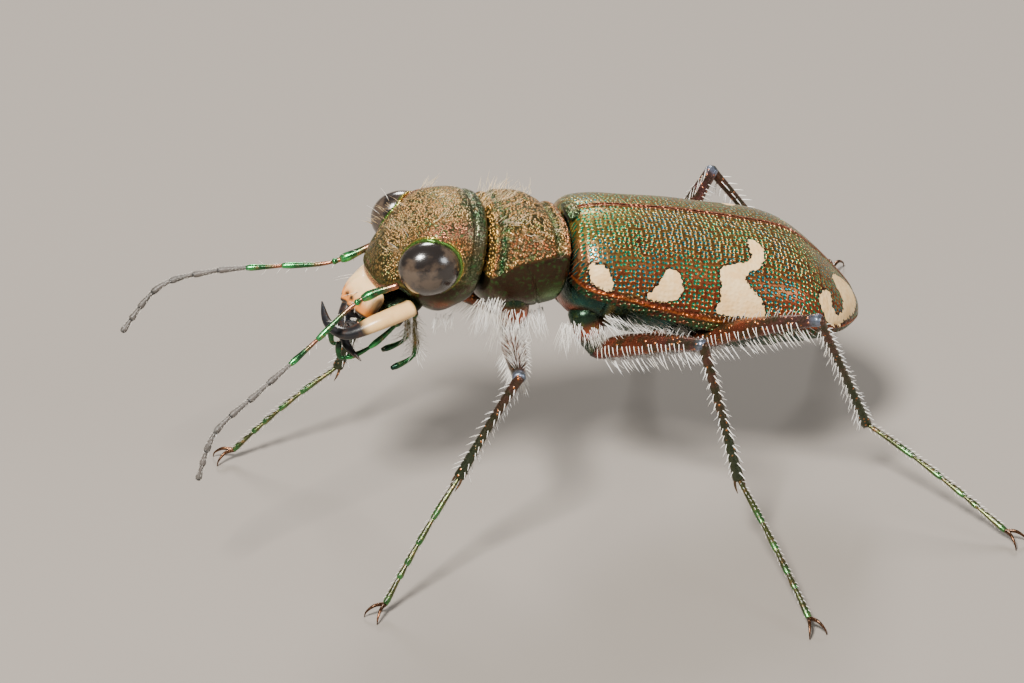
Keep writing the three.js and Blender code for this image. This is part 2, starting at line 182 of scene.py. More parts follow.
# Materials. Object coordinates are scaled so that a pattern's size is in millimetres.
class Finish:
    """A node material under construction: colours come from the piece's paint attribute."""

    def __init__(self, name, metallic=0.0, roughness=0.5, coat=0.0):
        self.material = bpy.data.materials.new(name)
        self.material.use_nodes = True
        self.tree = self.material.node_tree
        self.shader = self.tree.nodes["Principled BSDF"]
        self.shader.inputs["Metallic"].default_value = metallic
        self.shader.inputs["Roughness"].default_value = roughness
        self.shader.inputs["Coat Weight"].default_value = coat
        self.shader.inputs["Coat Roughness"].default_value = 0.12

    def node(self, kind, **settings):
        made = self.tree.nodes.new(kind)
        for key, value in settings.items():
            setattr(made, key, value)
        return made

    def put(self, value, socket):
        if isinstance(value, bpy.types.NodeSocket):
            self.tree.links.new(value, socket)
        elif isinstance(value, tuple):
            socket.default_value = (*value, 1)
        else:
            socket.default_value = value

    def set(self, name, value):
        self.put(value, self.shader.inputs[name])

    def mapped(self):
        coordinates = self.node("ShaderNodeTexCoord")
        mapping = self.node("ShaderNodeMapping")
        mapping.inputs["Scale"].default_value = (1 / MM, 1 / MM, 1 / MM)
        self.put(coordinates.outputs["Object"], mapping.inputs["Vector"])
        return mapping.outputs["Vector"]

    def surface(self):
        return self.node("ShaderNodeUVMap", uv_map="surface").outputs["UV"]

    def attribute(self, name, out="Color"):
        return self.node("ShaderNodeAttribute", attribute_name=name).outputs[out]

    def noise(self, where, scale, detail=3):
        made = self.node("ShaderNodeTexNoise")
        made.inputs["Scale"].default_value = scale
        made.inputs["Detail"].default_value = detail
        made.inputs["Roughness"].default_value = 0.6
        self.put(where, made.inputs["Vector"])
        return made.outputs["Fac"]

    def cells(self, where, scale, randomness=1.0, flat=False):
        made = self.node("ShaderNodeTexVoronoi")
        if flat:
            made.voronoi_dimensions = "2D"
        made.inputs["Scale"].default_value = scale
        made.inputs["Randomness"].default_value = randomness
        self.put(where, made.inputs["Vector"])
        return made.outputs["Distance"]

    def fade(self, value, low, high, start=0.0, end=1.0):
        made = self.node("ShaderNodeMapRange", interpolation_type="SMOOTHSTEP")
        made.inputs["From Min"].default_value = low
        made.inputs["From Max"].default_value = high
        made.inputs["To Min"].default_value = start
        made.inputs["To Max"].default_value = end
        self.put(value, made.inputs["Value"])
        return made.outputs["Result"]

    def join(self, a, b, operation="MULTIPLY"):
        made = self.node("ShaderNodeMath", operation=operation)
        self.put(a, made.inputs[0])
        self.put(b, made.inputs[1])
        return made.outputs["Value"]

    def blend(self, amount, a, b):
        made = self.node("ShaderNodeMix", data_type="RGBA")
        self.put(amount, made.inputs["Factor"])
        first, second = [s for s in made.inputs if s.type == "RGBA"]
        self.put(a, first)
        self.put(b, second)
        return next(s for s in made.outputs if s.type == "RGBA")

    def bump(self, height, strength, depth):
        made = self.node("ShaderNodeBump")
        made.inputs["Strength"].default_value = strength
        made.inputs["Distance"].default_value = depth * MM
        self.put(height, made.inputs["Height"])
        earlier = self.shader.inputs["Normal"].links
        if earlier:
            self.put(earlier[0].from_socket, made.inputs["Normal"])
        self.put(made.outputs["Normal"], self.shader.inputs["Normal"])


PIT_SPACING = 0.135
CREAM = (0.78, 0.49, 0.20)
PALE_CREAM = (0.86, 0.60, 0.30)
DARK = (0.03, 0.018, 0.014)
DARK_COPPER = (0.17, 0.035, 0.02)
OLIVE = (0.10, 0.12, 0.03)
# dark green: painted shade between granules, and the legs' greenish sheen
SHADE_AND_SHEEN_GREEN = (0.035, 0.045, 0.02)
GOLD_GLOW = (0.70, 0.38, 0.15)
DUST = (0.80, 0.60, 0.36)
BUMP_ORANGE = (0.62, 0.20, 0.05)


def wing_case_finish():
    """Copper ground with blue-green pits in glowing rims, and cream marks with a dark toothed edge."""
    f = Finish("wing_case_cuticle")
    surface = f.surface()
    where = f.mapped()
    glow = f.noise(surface, 2.5, 2)
    pits = f.cells(surface, 1 / PIT_SPACING, 0.55, flat=True)
    patches = f.noise(where, 0.9, 4)
    speckle = f.noise(where, 9)
    ground = f.blend(f.fade(speckle, 0.42, 0.62, 0, 0.75), f.attribute("paint"), DARK_COPPER)
    ground = f.blend(f.fade(patches, 0.5, 0.68, 0, 0.4), ground, OLIVE)
    rim_color = f.blend(f.fade(speckle, 0.42, 0.58), (0.80, 0.27, 0.05), (0.38, 0.42, 0.05))
    rim_color = f.blend(0.4, rim_color, f.attribute("paint"))
    ring = f.join(f.fade(pits, 0.50, 0.38), f.fade(glow, 0.3, 0.6, 0.3, 0.85))
    ring = f.join(ring, f.attribute("dust", "Fac"))
    skin = f.blend(ring, ground, rim_color)
    pit_color = f.blend(f.fade(patches, 0.42, 0.58), (0.0, 0.26, 0.13), (0.0, 0.17, 0.21))
    pit = f.join(f.fade(pits, 0.34, 0.22), f.attribute("dust", "Fac"))
    skin = f.blend(pit, skin, pit_color)
    teeth = f.join(f.fade(pits, 0.1, 0.6, -0.022, 0.022), f.attribute("mark", "Fac"), "ADD")
    teeth = f.join(teeth, f.fade(f.noise(surface, 5), 0.3, 0.7, -0.03, 0.03), "ADD")
    mark = f.fade(teeth, 0.0, 0.02)
    skin = f.blend(f.join(f.fade(teeth, -0.06, -0.02), 0.85), skin, DARK)
    cream = f.blend(f.fade(f.noise(where, 3, 4), 0.35, 0.65), CREAM, PALE_CREAM)
    f.set("Base Color", f.blend(mark, skin, cream))
    f.set("Metallic", f.fade(mark, 0, 1, 0.85, 0.0))
    f.set("Roughness", f.fade(mark, 0, 1, 0.30, 0.5))
    f.bump(f.join(f.fade(pits, 0.16, 0.5), f.fade(mark, 0, 1, 1, 0.15)), 1.0, 0.04)
    f.bump(f.noise(where, 24, 2), 0.3, 0.012)
    return f.material


def grainy_finish(name, grain, depth, speck):
    """Cuticle beaten into fine granules under pale dust, with painted shade between the granules; the dust
    attribute says where it is rough.
    """
    f = Finish(name)
    where = f.mapped()
    rough = f.attribute("dust", "Fac")
    granules = f.cells(where, grain, 0.95)
    # painted shade: dark green in the hollows between the granules
    hollow = f.join(f.fade(granules, 0.30, 0.62, 0, 0.9), f.fade(rough, 0, 0.5, 0.35, 1))
    color = f.blend(hollow, f.attribute("paint"), SHADE_AND_SHEEN_GREEN)
    glow = f.join(f.fade(f.noise(where, 5, 4), 0.5, 0.7, 0, 0.55), rough)
    color = f.blend(glow, color, GOLD_GLOW)
    color = f.blend(f.fade(f.noise(where, 8), 0.52, 0.7, 0, 0.6), color, speck)
    grit = f.join(f.fade(f.noise(where, 17, 3), 0.60, 0.68), f.fade(rough, 0.5, 1))
    dusty = f.join(grit, f.fade(f.noise(where, 1.4, 3), 0.4, 0.6, 0.2, 0.8))
    f.set("Base Color", f.blend(dusty, color, DUST))
    f.set("Metallic", f.fade(dusty, 0, 1, 0.85, 0.0))
    f.set("Roughness", f.fade(rough, 0, 1, 0.22, 0.36))
    f.bump(f.join(f.fade(granules, 0.0, 0.7, 1, 0), rough), 1.0, depth)
    f.bump(f.noise(where, 30, 3), 0.4, 0.012)
    return f.material


def smooth_finish(name, metallic, roughness, grain, depth, shine):
    """Polished cuticle with mottling, coloured by the paint."""
    f = Finish(name, metallic)
    where = f.mapped()
    mottle = f.fade(f.noise(where, 2.2, 4), 0.35, 0.7, 0, 0.55)
    color = f.blend(mottle, f.attribute("paint"), (0.02, 0.022, 0.018))
    f.set("Base Color", f.blend(f.fade(f.noise(where, 6), 0.52, 0.72, 0, 0.5), color, shine))
    f.set("Roughness", f.fade(f.noise(where, 12), 0.3, 0.7, roughness - 0.07, roughness + 0.1))
    f.bump(f.noise(where, grain, 4), 0.6, depth)
    return f.material


def leg_finish():
    """Red copper with orange bumps at the roots of the bristles and a greenish sheen."""
    f = Finish("leg_cuticle", 0.8)
    where = f.mapped()
    bumps = f.cells(where, 6.5, 0.9)
    mottle = f.fade(f.noise(where, 3, 4), 0.42, 0.62, 0, 0.7)
    color = f.blend(mottle, f.attribute("paint"), SHADE_AND_SHEEN_GREEN)
    f.set("Base Color", f.blend(f.fade(bumps, 0.26, 0.12, 0, 0.8), color, BUMP_ORANGE))
    f.set("Roughness", f.fade(f.noise(where, 14), 0.3, 0.7, 0.22, 0.36))
    f.bump(f.fade(bumps, 0.0, 0.35, 1, 0), 0.7, 0.03)
    f.bump(f.noise(where, 22, 3), 0.5, 0.012)
    return f.material


def eye_finish():
    """Dark brown glossy facets with cloudy lighter patches of painted reflection."""
    f = Finish("compound_eye", 0.0, 0.2, 0.7)
    where = f.mapped()
    # painted reflection: lighter brown clouds over the dark facets
    reflection_cloud = f.fade(f.noise(where, 1.3, 4), 0.42, 0.62)
    brown = f.blend(reflection_cloud, (0.012, 0.009, 0.008), (0.075, 0.052, 0.036))
    spots = f.fade(f.noise(where, 5), 0.55, 0.7, 0, 0.4)
    f.set("Base Color", f.blend(spots, brown, (0.012, 0.012, 0.016)))
    f.bump(f.cells(where, 30, 0.15), 0.3, 0.008)
    return f.material


def shell_finish():
    """Horny cream or black plate, coloured by the paint, with soft stains."""
    f = Finish("horny_plate", 0.0, 0.3)
    where = f.mapped()
    stained = f.blend(0.35, f.attribute("paint"), (0.25, 0.10, 0.03))
    stain = f.fade(f.noise(where, 2.5, 4), 0.48, 0.72, 0, 0.6)
    f.set("Base Color", f.blend(stain, f.attribute("paint"), stained))
    f.bump(f.noise(where, 9, 4), 0.35, 0.012)
    f.set("Subsurface Weight", 0.06)
    f.set("Subsurface Scale", 0.0003)
    return f.material


def hair_finish(name, color, other):
    """Bristles of two close colours, mingled."""
    f = Finish(name, 0.0, 0.4)
    f.set("Base Color", f.blend(f.fade(f.noise(f.mapped(), 1.5, 2), 0.3, 0.7), color, other))
    f.set("Sheen Weight", 0.3)
    return f.material


WING_CASE = wing_case_finish()
HEAD_SKIN = grainy_finish("head_cuticle", 16, 0.04, (0.05, 0.16, 0.05))
PRONOTUM_SKIN = grainy_finish("pronotum_cuticle", 12, 0.055, (0.05, 0.16, 0.04))
UNDERSIDE = smooth_finish("underside_cuticle", 0.8, 0.26, 8, 0.03, (0.10, 0.13, 0.03))
LIMB_SKIN = smooth_finish("green_limb_cuticle", 0.85, 0.24, 14, 0.012, (0.40, 0.16, 0.08))
DULL_LIMB = smooth_finish("dull_antenna_cuticle", 0.1, 0.5, 20, 0.01, (0.20, 0.19, 0.18))
LEG_SKIN = leg_finish()
EYE = eye_finish()
SHELL = shell_finish()
BRISTLE = hair_finish("pale_bristle", (0.82, 0.76, 0.66), (0.94, 0.93, 0.90))
GOLD_BRISTLE = hair_finish("golden_bristle", (0.55, 0.36, 0.16), (0.80, 0.64, 0.40))


# Making pieces
def new_form():
    bm = bmesh.new()
    bm.verts.layers.float_color.new("paint")
    bm.verts.layers.float.new("dust")
    return bm


def add_form(bm, around, along, point):
    """Adds a closed round form: point gives place, colour and roughness for a share along and an angle."""
    paint = bm.verts.layers.float_color["paint"]
    dust = bm.verts.layers.float["dust"]
    made = bmesh.ops.create_uvsphere(bm, u_segments=around, v_segments=along, radius=1)
    for vert in made["verts"]:
        t = math.acos(min(max(-vert.co.z, -1), 1)) / math.pi
        place, color, rough = point(t, math.atan2(vert.co.y, vert.co.x))
        vert.co = place
        vert[paint] = (*color, 1)
        vert[dust] = rough


def finish_piece(bm, name, material, nodes=(), matrix=SHARED):
    """Turns a modelled form into a piece of the beetle."""
    bm.transform(matrix)
    bmesh.ops.recalc_face_normals(bm, faces=bm.faces)
    mesh = bpy.data.meshes.new(name)
    bm.to_mesh(mesh)
    bm.free()
    mesh.shade_smooth()
    mesh.materials.append(material)
    piece = bpy.data.objects.new(name, mesh)
    bpy.context.collection.objects.link(piece)
    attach(piece, "root")
    if nodes:
        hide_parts(*nodes)


def body_form(shape, start, end, paint, relief=None):
    """A point function for a body skin: shape gives half width, line, up, down and crown at a place."""

    def point(t, angle):
        place = start + (end - start) * (0.7 * t + 0.3 * (1 - math.cos(math.pi * t)) / 2)
        wide, line, up, down, crown = shape(place)
        pole = math.sqrt(max(0, 1 - abs(2 * t - 1) ** 16))
        y = wide * signed_power(math.cos(angle), crown) * pole
        reach = up if math.sin(angle) > 0 else down
        z = line + reach * signed_power(math.sin(angle), crown) * pole
        here = Vector((place, y, z))
        color, rough = paint(place, y, z)
        if relief:
            out = Vector((0, y / max(wide, 0.1) ** 2, (z - line) / max(reach, 0.1) ** 2))
            if out.length > 1e-6:
                here += out.normalized() * relief(place, y, z) * pole
        return here, color, rough

    return point


class Line:
    """A smooth line through points, with a place, a direction and two sides at each share of its length."""

    def __init__(self, points, steps=14):
        points = [Vector(p) for p in points]
        last = len(points) - 1
        dense = []
        for i in range(last):
            p0 = points[max(i - 1, 0)]
            p1 = points[i]
            p2 = points[i + 1]
            p3 = points[min(i + 2, last)]
            for k in range(steps):
                t = k / steps
                dense.append(0.5 * (2 * p1 + (p2 - p0) * t + (2 * p0 - 5 * p1 + 4 * p2 - p3) * t * t
                                    + (3 * p1 - p0 - 3 * p2 + p3) * t ** 3))
        dense.append(points[-1])
        self.points = dense
        self.lengths = [0.0]
        for a, b in zip(dense, dense[1:]):
            self.lengths.append(self.lengths[-1] + (b - a).length)
        self.total = self.lengths[-1]
        self.sides = []
        side = (dense[1] - dense[0]).cross(Vector((0, 0, 1))).normalized()
        for i in range(len(dense)):
            ahead = (dense[min(i + 1, len(dense) - 1)] - dense[max(i - 1, 0)]).normalized()
            side = (side - ahead * side.dot(ahead)).normalized()
            self.sides.append((ahead, side.copy()))

    def at(self, share):
        want = self.total * min(max(share, 0), 1)
        i = min(max(bisect.bisect_right(self.lengths, want) - 1, 0), len(self.points) - 2)
        part = (want - self.lengths[i]) / max(self.lengths[i + 1] - self.lengths[i], 1e-9)
        place = self.points[i].lerp(self.points[i + 1], part)
        ahead = self.sides[i][0].lerp(self.sides[i + 1][0], part).normalized()
        side = self.sides[i][1].lerp(self.sides[i + 1][1], part).normalized()
        return place, ahead, side, side.cross(ahead)

    def on(self, share, angle, out):
        """A place out from the line, the way out there and the way ahead. A quarter turn is upwards."""
        place, ahead, side, rise = self.at(share)
        way = side * math.cos(angle) + rise * math.sin(angle)
        return place + way * out, way, ahead


CAP_RINGS = 2.2
CAP_BULGE = 0.6


def add_limb(bm, line, radius, paint, around, along, flat=1.0, start=0.0, end=1.0):
    """A round limb along part of a line, with a rounded cap at each end."""
    cap = CAP_RINGS / along

    def point(t, angle):
        s = (t - cap) / (1 - 2 * cap)
        beyond = 0.0
        if s < 0:
            beyond = -t / cap + 1
        elif s > 1:
            beyond = 1 - (1 - t) / cap
        dome = math.sqrt(max(0, 1 - beyond * beyond))
        s = min(max(s, 0), 1)
        place, ahead, side, rise = line.at(start + (end - start) * s)
        out = radius(s)
        place = place + ahead * (beyond * out * CAP_BULGE * (-1 if s < 0.5 else 1))
        here = place + (side * math.cos(angle) + rise * (math.sin(angle) * flat)) * (out * dome)
        return here, paint(s), 1

    add_form(bm, around, along, point)


class Coat:
    """Many tapered bristles in one piece, each a solid curved spike of three sides."""

    RINGS = 4

    def __init__(self):
        self.hairs = []

    def add(self, root, way, length, radius, bend, uv):
        self.hairs.append((*root, *way.normalized(), length, radius, *bend, *uv))

    def finish(self, name, slot, material=BRISTLE):
        hairs = np.array(self.hairs, dtype=float)
        count = len(hairs)
        root = hairs[:, 0:3]
        way = hairs[:, 3:6]
        length = hairs[:, 6:7]
        radius = hairs[:, 7:8]
        bend = hairs[:, 8:11]
        uv = hairs[:, 11:13]
        sloping = np.abs(way[:, 2:3]) < 0.8
        helper = np.where(sloping, np.array([[0.0, 0.0, 1.0]]), np.array([[1.0, 0.0, 0.0]]))
        side = np.cross(way, helper)
        side /= np.linalg.norm(side, axis=1, keepdims=True)
        rise = np.cross(side, way)
        levels = self.RINGS * 3 + 1
        verts = np.zeros((count, levels, 3))
        spread = np.zeros((levels, 2))
        for ring in range(self.RINGS):
            s = ring / self.RINGS
            centre = root + way * length * s + bend * length * s * s
            thick = radius * (1 - 0.75 * s)
            for k in range(3):
                angle = 2 * math.pi * k / 3
                verts[:, ring * 3 + k] = centre + (side * math.cos(angle) + rise * math.sin(angle)) * thick
                spread[ring * 3 + k] = (0.001 * k, 0.003 * s)
        verts[:, -1] = root + way * length + bend * length
        spread[-1] = (0.001, 0.003)
        faces = [(2, 1, 0)]
        for ring in range(self.RINGS - 1):
            for k in range(3):
                a = ring * 3 + k
                b = ring * 3 + (k + 1) % 3
                faces.append((a, b, b + 3))
                faces.append((a, b + 3, a + 3))
        top = self.RINGS * 3 - 3
        for k in range(3):
            faces.append((top + k, top + (k + 1) % 3, levels - 1))
        faces = np.array(faces)
        loops = (faces[None] + (np.arange(count) * levels)[:, None, None]).reshape(-1)
        mesh = bpy.data.meshes.new(name)
        mesh.vertices.add(count * levels)
        mesh.vertices.foreach_set("co", (verts.reshape(-1, 3) * MM).ravel())
        mesh.loops.add(len(loops))
        mesh.loops.foreach_set("vertex_index", loops)
        mesh.polygons.add(count * len(faces))
        mesh.polygons.foreach_set("loop_start", np.arange(count * len(faces)) * 3)
        layer = mesh.uv_layers.new(name="OFBake")
        places = (uv[:, None, None, :] * 0.99 + spread[faces][None]).reshape(-1, 2)
        layer.data.foreach_set("uv", places.ravel())
        mesh.update()
        mesh.validate()
        mesh.shade_smooth()
        mesh.materials.append(material)
        piece = bpy.data.objects.new(name, mesh)
        bpy.context.collection.objects.link(piece)
        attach(piece, "root")


def shifted(point):
    """A place in the floor frame before the beetle is centred, moved to the shared frame."""
    return Vector((point[0] - MIDDLE[0], point[1] - MIDDLE[1], point[2]))


def from_body(point):
    """A place given in the body's frame, in the shared frame's millimetres."""
    return BODY_TO_SHARED @ Vector(point)


def body_way(way):
    return BODY_TO_SHARED.to_3x3() @ Vector(way)


# Wing cases
CASE_START = 0.0
CASE_TO = 9.15
CASE_THICK = 0.1
EDGE_ANGLE = 99  # degrees from the suture, a little under the widest line
OUTSIDE_SHARE = 0.8
CASE_CROWN = 0.96
SUTURE_GAP = 0.012
case_wide = through((0.0, 1.15), (0.05, 1.42), (0.12, 1.62), (0.3, 1.88), (0.6, 2.06), (1.2, 2.16),
                    (3.2, 2.38), (5.4, 2.55), (6.9, 2.4), (8.0, 1.95), (8.7, 1.27), (9.0, 0.76),
                    (9.15, 0.18))
case_line = through((0, 0.42), (1.2, 0.3), (2.6, 0.06), (4.4, -0.15), (6.5, -0.16), (7.8, -0.34),
                    (9.15, -0.55))
case_rise = through((0.0, 1.12), (0.05, 1.27), (0.15, 1.40), (0.5, 1.55), (1.6, 1.78), (3.5, 2.02),
                    (5, 1.99), (6.5, 1.74), (7.6, 1.28), (8.4, 0.78), (8.9, 0.4), (9.15, 0.12))

# Outlines of the cream marks: place along and degrees from the suture
HUMERAL = ((0.28, 66), (0.54, 62), (0.79, 67), (0.97, 84), (0.66, 86), (0.38, 82))
POSTHUMERAL = ((2.49, 56), (2.84, 60), (2.95, 71), (2.74, 81), (1.94, 85), (2.14, 74), (2.32, 65))
MIDDLE_BAND = ((5.02, 22), (5.26, 22), (5.44, 29), (5.35, 41), (4.78, 52), (4.98, 61), (5.29, 70), (5.4, 83),
               (4.69, 84), (3.99, 83), (4.07, 71), (4.02, 53), (4.15, 47), (4.82, 41), (5.02, 36), (5.0, 30))
APICAL = ((7.85, 25), (8.57, 12), (8.81, 27), (8.8, 52), (8.57, 74), (7.9, 88), (7.52, 84), (7.24, 72),
          (7.07, 61), (7.2, 54), (7.44, 49), (7.59, 53), (7.61, 64), (7.83, 74), (8.03, 65), (8.06, 52),
          (7.92, 39))
NO_MARK = -9.0
PATTERN_SHIFT = 40  # keeps the pattern of pits clear of its own origin


def case_point(x, phi, lift=0.0):
    """A place on the wing case: phi in degrees from the suture, past 90 on the turned-in edge."""
    wide = case_wide(x)
    rise = case_rise(x)
    side = signed_power(math.sin(math.radians(phi)), CASE_CROWN)
    up = signed_power(math.cos(math.radians(phi)), CASE_CROWN)
    out = Vector((0, side / max(wide, 0.2), up / max(rise, 0.2))).normalized()
    return Vector((x, wide * side, case_line(x) + rise * up)) + out * lift


def arc_table(x):
    """Distance from the suture along the surface, for each degree."""
    table = [0.0]
    before = case_point(x, 0)
    for phi in range(1, EDGE_ANGLE + 2):
        here = case_point(x, phi)
        table.append(table[-1] + (here - before).length)
        before = here
    return table


def edge_distance(places, outline):
    """Signed distance from closed outlines, more than 0 inside, for an array of places."""
    corners = []
    count = len(outline)
    for i in range(count):
        p0, p1, p2, p3 = (np.array(outline[(i + k) % count]) for k in (-1, 0, 1, 2))
        for t in (0, 0.33, 0.67):
            corners.append(0.5 * (2 * p1 + (p2 - p0) * t + (2 * p0 - 5 * p1 + 4 * p2 - p3) * t * t
                                  + (3 * p1 - p0 - 3 * p2 + p3) * t ** 3))
    nearest = np.full(len(places), 1e9)
    inside = np.zeros(len(places), dtype=bool)
    for a, b in zip(corners, corners[1:] + corners[:1]):
        span = b - a
        part = np.clip(((places - a) @ span) / max(span @ span, 1e-12), 0, 1)
        nearest = np.minimum(nearest, np.linalg.norm(places - a - part[:, None] * span, axis=1))
        crosses = (a[1] > places[:, 1]) != (b[1] > places[:, 1])
        slope = (b[0] - a[0]) / (b[1] - a[1]) if abs(b[1] - a[1]) > 1e-9 else 0
        inside ^= crosses & (places[:, 0] < a[0] + (places[:, 1] - a[1]) * slope)
    return np.where(inside, nearest, -nearest)


def case_paint(x, phi):
    """Greener near the base and suture, redder towards the margin, with a painted pink-gold sheen on the
    shoulder.
    """
    color = mix((0.24, 0.15, 0.035), (0.27, 0.06, 0.025), step(18, 75, phi))
    color = mix(color, (0.24, 0.26, 0.06), 0.7 * (1 - step(0.3, 2.4, x)) * (1 - step(45, 75, phi)))
    # painted highlight: a pink-gold sheen on the rounded shoulder
    color = mix(color, (0.85, 0.48, 0.26), 0.85 * ridge(phi, 58, 24) * ridge(x, 0.3, 0.75))
    color = mix(color, (0.05, 0.11, 0.05), 0.75 * step(8.2, 9.0, x))
    color = mix(color, (0.10, 0.05, 0.03), 0.5 * step(6.5, 8.5, x) * (1 - step(30, 60, phi)))
    # painted shade: darker in the hollow behind the shoulder, where the case is sunk
    color = mix(color, (0.03, 0.02, 0.02), 0.8 * ridge(x, 1.75, 0.55) * ridge(phi, 38, 14))
    color = mix((0.40, 0.13, 0.07), color, step(1.0, 3.0, phi))
    color = mix(color, (0.10, 0.04, 0.02), 0.8 * ridge(phi, 86, 2.5))
    color = mix(color, (0.75, 0.20, 0.04), ridge(phi, 89.5, 2))
    return mix(color, (0.02, 0.07, 0.03), step(90.5, 92.5, phi))


def add_wing_case(name, sign, node):
    """One wing case as a closed shell: outside from the suture to the edge, then back along the inside."""
    columns = 230
    rows = 130
    bm = new_form()
    mark_layer = bm.verts.layers.float.new("mark")
    uv_layer = bm.loops.layers.uv.new("surface")
    paint = bm.verts.layers.float_color["paint"]
    dust = bm.verts.layers.float["dust"]
    made = bmesh.ops.create_grid(bm, x_segments=columns, y_segments=rows, size=1)
    bm.verts.index_update()
    tables = {}
    outlines = []
    for outline in (HUMERAL, POSTHUMERAL, MIDDLE_BAND, APICAL):
        outlines.append([(x, arc_table(x)[phi]) for x, phi in outline])
    entries = []
    for vert in made["verts"]:
        share = (vert.co.x + 1) / 2
        across = (vert.co.y + 1) / 2
        x = CASE_START + (CASE_TO - CASE_START) * share
        if across < OUTSIDE_SHARE:
            phi = EDGE_ANGLE * across / OUTSIDE_SHARE
            depth = 0.0
        else:
            phi = EDGE_ANGLE * (1 - across) / (1 - OUTSIDE_SHARE)
            ends = min(1, share / 0.015, (1 - share) / 0.04)
            depth = CASE_THICK * ends * min(1, (1 - across) / 0.03, (across - OUTSIDE_SHARE) / 0.02)
        if x not in tables:
            tables[x] = arc_table(x)
        low = int(phi)
        arc = tables[x][low] + (tables[x][low + 1] - tables[x][low]) * (phi - low)
        entries.append((vert, x, phi, arc, depth))
    places = np.array([(e[1], e[3]) for e in entries])
    marks = np.full(len(entries), NO_MARK)
    for outline in outlines:
        marks = np.maximum(marks, edge_distance(places, outline))
    uvs = {}
    for (vert, x, phi, arc, depth), mark in zip(entries, marks):
        rims = 0.05 * ridge(phi, 89, 2.8) + 0.04 * ridge(phi, 1.2, 2.2)
        ends = min(1, (x - CASE_START) / 0.3, (CASE_TO - x) / 0.3)
        swell = 0.02 * noise.noise(Vector((x * 0.8, arc * 0.9, 3)))
        sunk = -0.05 * ridge(x, 1.75, 0.6) * ridge(phi, 38, 15)
        here = case_point(x, phi, (rims + swell + sunk) * ends - depth)
        uvs[vert.index] = (x, arc + PATTERN_SHIFT)
        here.y = sign * max(here.y, SUTURE_GAP)
        vert.co = here
        vert[paint] = (*case_paint(x, phi), 1)
        vert[dust] = min(step(1.5, 3.5, phi), 1 - step(84, 87, phi))
        vert[mark_layer] = mark if depth == 0 else -1
    for face in bm.faces:
        for loop in face.loops:
            loop[uv_layer].uv = uvs[loop.vert.index]
    bmesh.ops.remove_doubles(bm, verts=bm.verts, dist=1e-5)
    finish_piece(bm, name, WING_CASE, (node,), BODY)


for side_name, side_sign in (("left", -1), ("right", 1)):
    add_wing_case("wing_case_" + side_name, side_sign, "elytron_" + side_name)


# Underside, and the small shield between the wing cases
GREEN_BLACK = (0.018, 0.045, 0.025)
thorax_wide = through((0.1, 1.35), (0.9, 1.6), (2, 1.74), (3.55, 1.76))
thorax_floor = through((0.1, -0.95), (0.8, -1.3), (1.8, -1.52), (2.8, -1.6), (3.55, -1.5))
abdomen_deep = through((3.55, 1.5), (5.5, 1.4), (7.3, 1), (8.75, 0.35))


def thorax_shape(x):
    line = case_line(x)
    return thorax_wide(x), line, 0.75, line - thorax_floor(x), 0.8


def thorax_paint(x, y, z):
    color = mix(GREEN_BLACK, (0.015, 0.09, 0.08), 0.5 + 0.5 * noise.noise(Vector((x, y, z))))
    color = mix(color, (0.22, 0.14, 0.03), 0.7 * ridge(x, 1.3, 0.16))
    patch = ridge(x, 0.45, 0.6) * (1 - step(-0.8, -0.4, z))
    return mix(color, (0.38, 0.08, 0.035), patch), 1


def thorax_relief(x, y, z):
    seams = -0.07 * ridge(x, 1.15, 0.09) - 0.07 * ridge(x + 0.3 * z, 2.15, 0.08)
    middle = -0.06 * ridge(y, 0, 0.08) if z < 0 else 0
    return seams + middle


def abdomen_shape(x):
    line = case_line(x)
    return case_wide(x) * 0.93 - 0.05, line + 0.02, 0.4, abdomen_deep(x), 0.8


def abdomen_paint(x, y, z):
    color = mix((0.02, 0.05, 0.045), (0.05, 0.11, 0.06), 0.5 + 0.5 * math.sin(x * 5.5))
    return mix(color, (0.10, 0.05, 0.03), 0.6 * step(7.5, 8.6, x)), 1


def abdomen_relief(x, y, z):
    """Overlapping belly plates: each rises towards its rear edge."""
    share = ((x - 3.75) / 0.82) % 1
    return 0.07 * share if z < case_line(x) - 0.1 else 0


bm = new_form()
add_form(bm, 96, 60, body_form(thorax_shape, 0.1, 3.6, thorax_paint, thorax_relief))
finish_piece(bm, "rear_thorax", UNDERSIDE, ("thorax",), BODY)
bm = new_form()
add_form(bm, 96, 110, body_form(abdomen_shape, 3.5, 8.85, abdomen_paint, abdomen_relief))
finish_piece(bm, "belly", UNDERSIDE, ("abdomen",), BODY)


def scutellum_point(t, angle):
    """A small triangle with its point to the rear, domed."""
    place = -0.06 + 0.72 * t
    half = 0.44 * (1 - step(0.12, 1.0, t)) + 0.01
    y = half * math.cos(angle)
    z = 1.71 + 0.10 * step(0, 0.3, t) - 0.02 * t + 0.13 * signed_power(math.sin(angle), 0.8) * (1 - 0.5 * t)
    return Vector((place, y, z)), mix((0.30, 0.22, 0.08), (0.10, 0.24, 0.12), abs(y) * 2), 0.6


bm = new_form()
add_form(bm, 36, 24, scutellum_point)
finish_piece(bm, "shield", PRONOTUM_SKIN, ("scutellum",), BODY)


# Prothorax
prothorax_wide = through((-2.45, 1.48), (-2.1, 1.57), (-1.5, 1.67), (-0.9, 1.67), (-0.4, 1.56), (-0.1, 1.5))
prothorax_top = through((-2.45, 1.97), (-1.8, 1.99), (-1.1, 1.9), (-0.5, 1.7), (-0.1, 1.66))
prothorax_floor = through((-2.45, -0.72), (-1.9, -0.98), (-1, -0.98), (-0.1, -0.75))
lateral_edge = through((-2.45, 0.3), (-2.23, 0.44), (-1.72, 0.88), (-0.96, 1.12), (-0.5, 1.17), (-0.1, 1.1))
PROTHORAX_LINE = 0.55


def prothorax_shape(x):
    line = PROTHORAX_LINE
    return prothorax_wide(x), line, prothorax_top(x) - line, line - prothorax_floor(x), 0.88


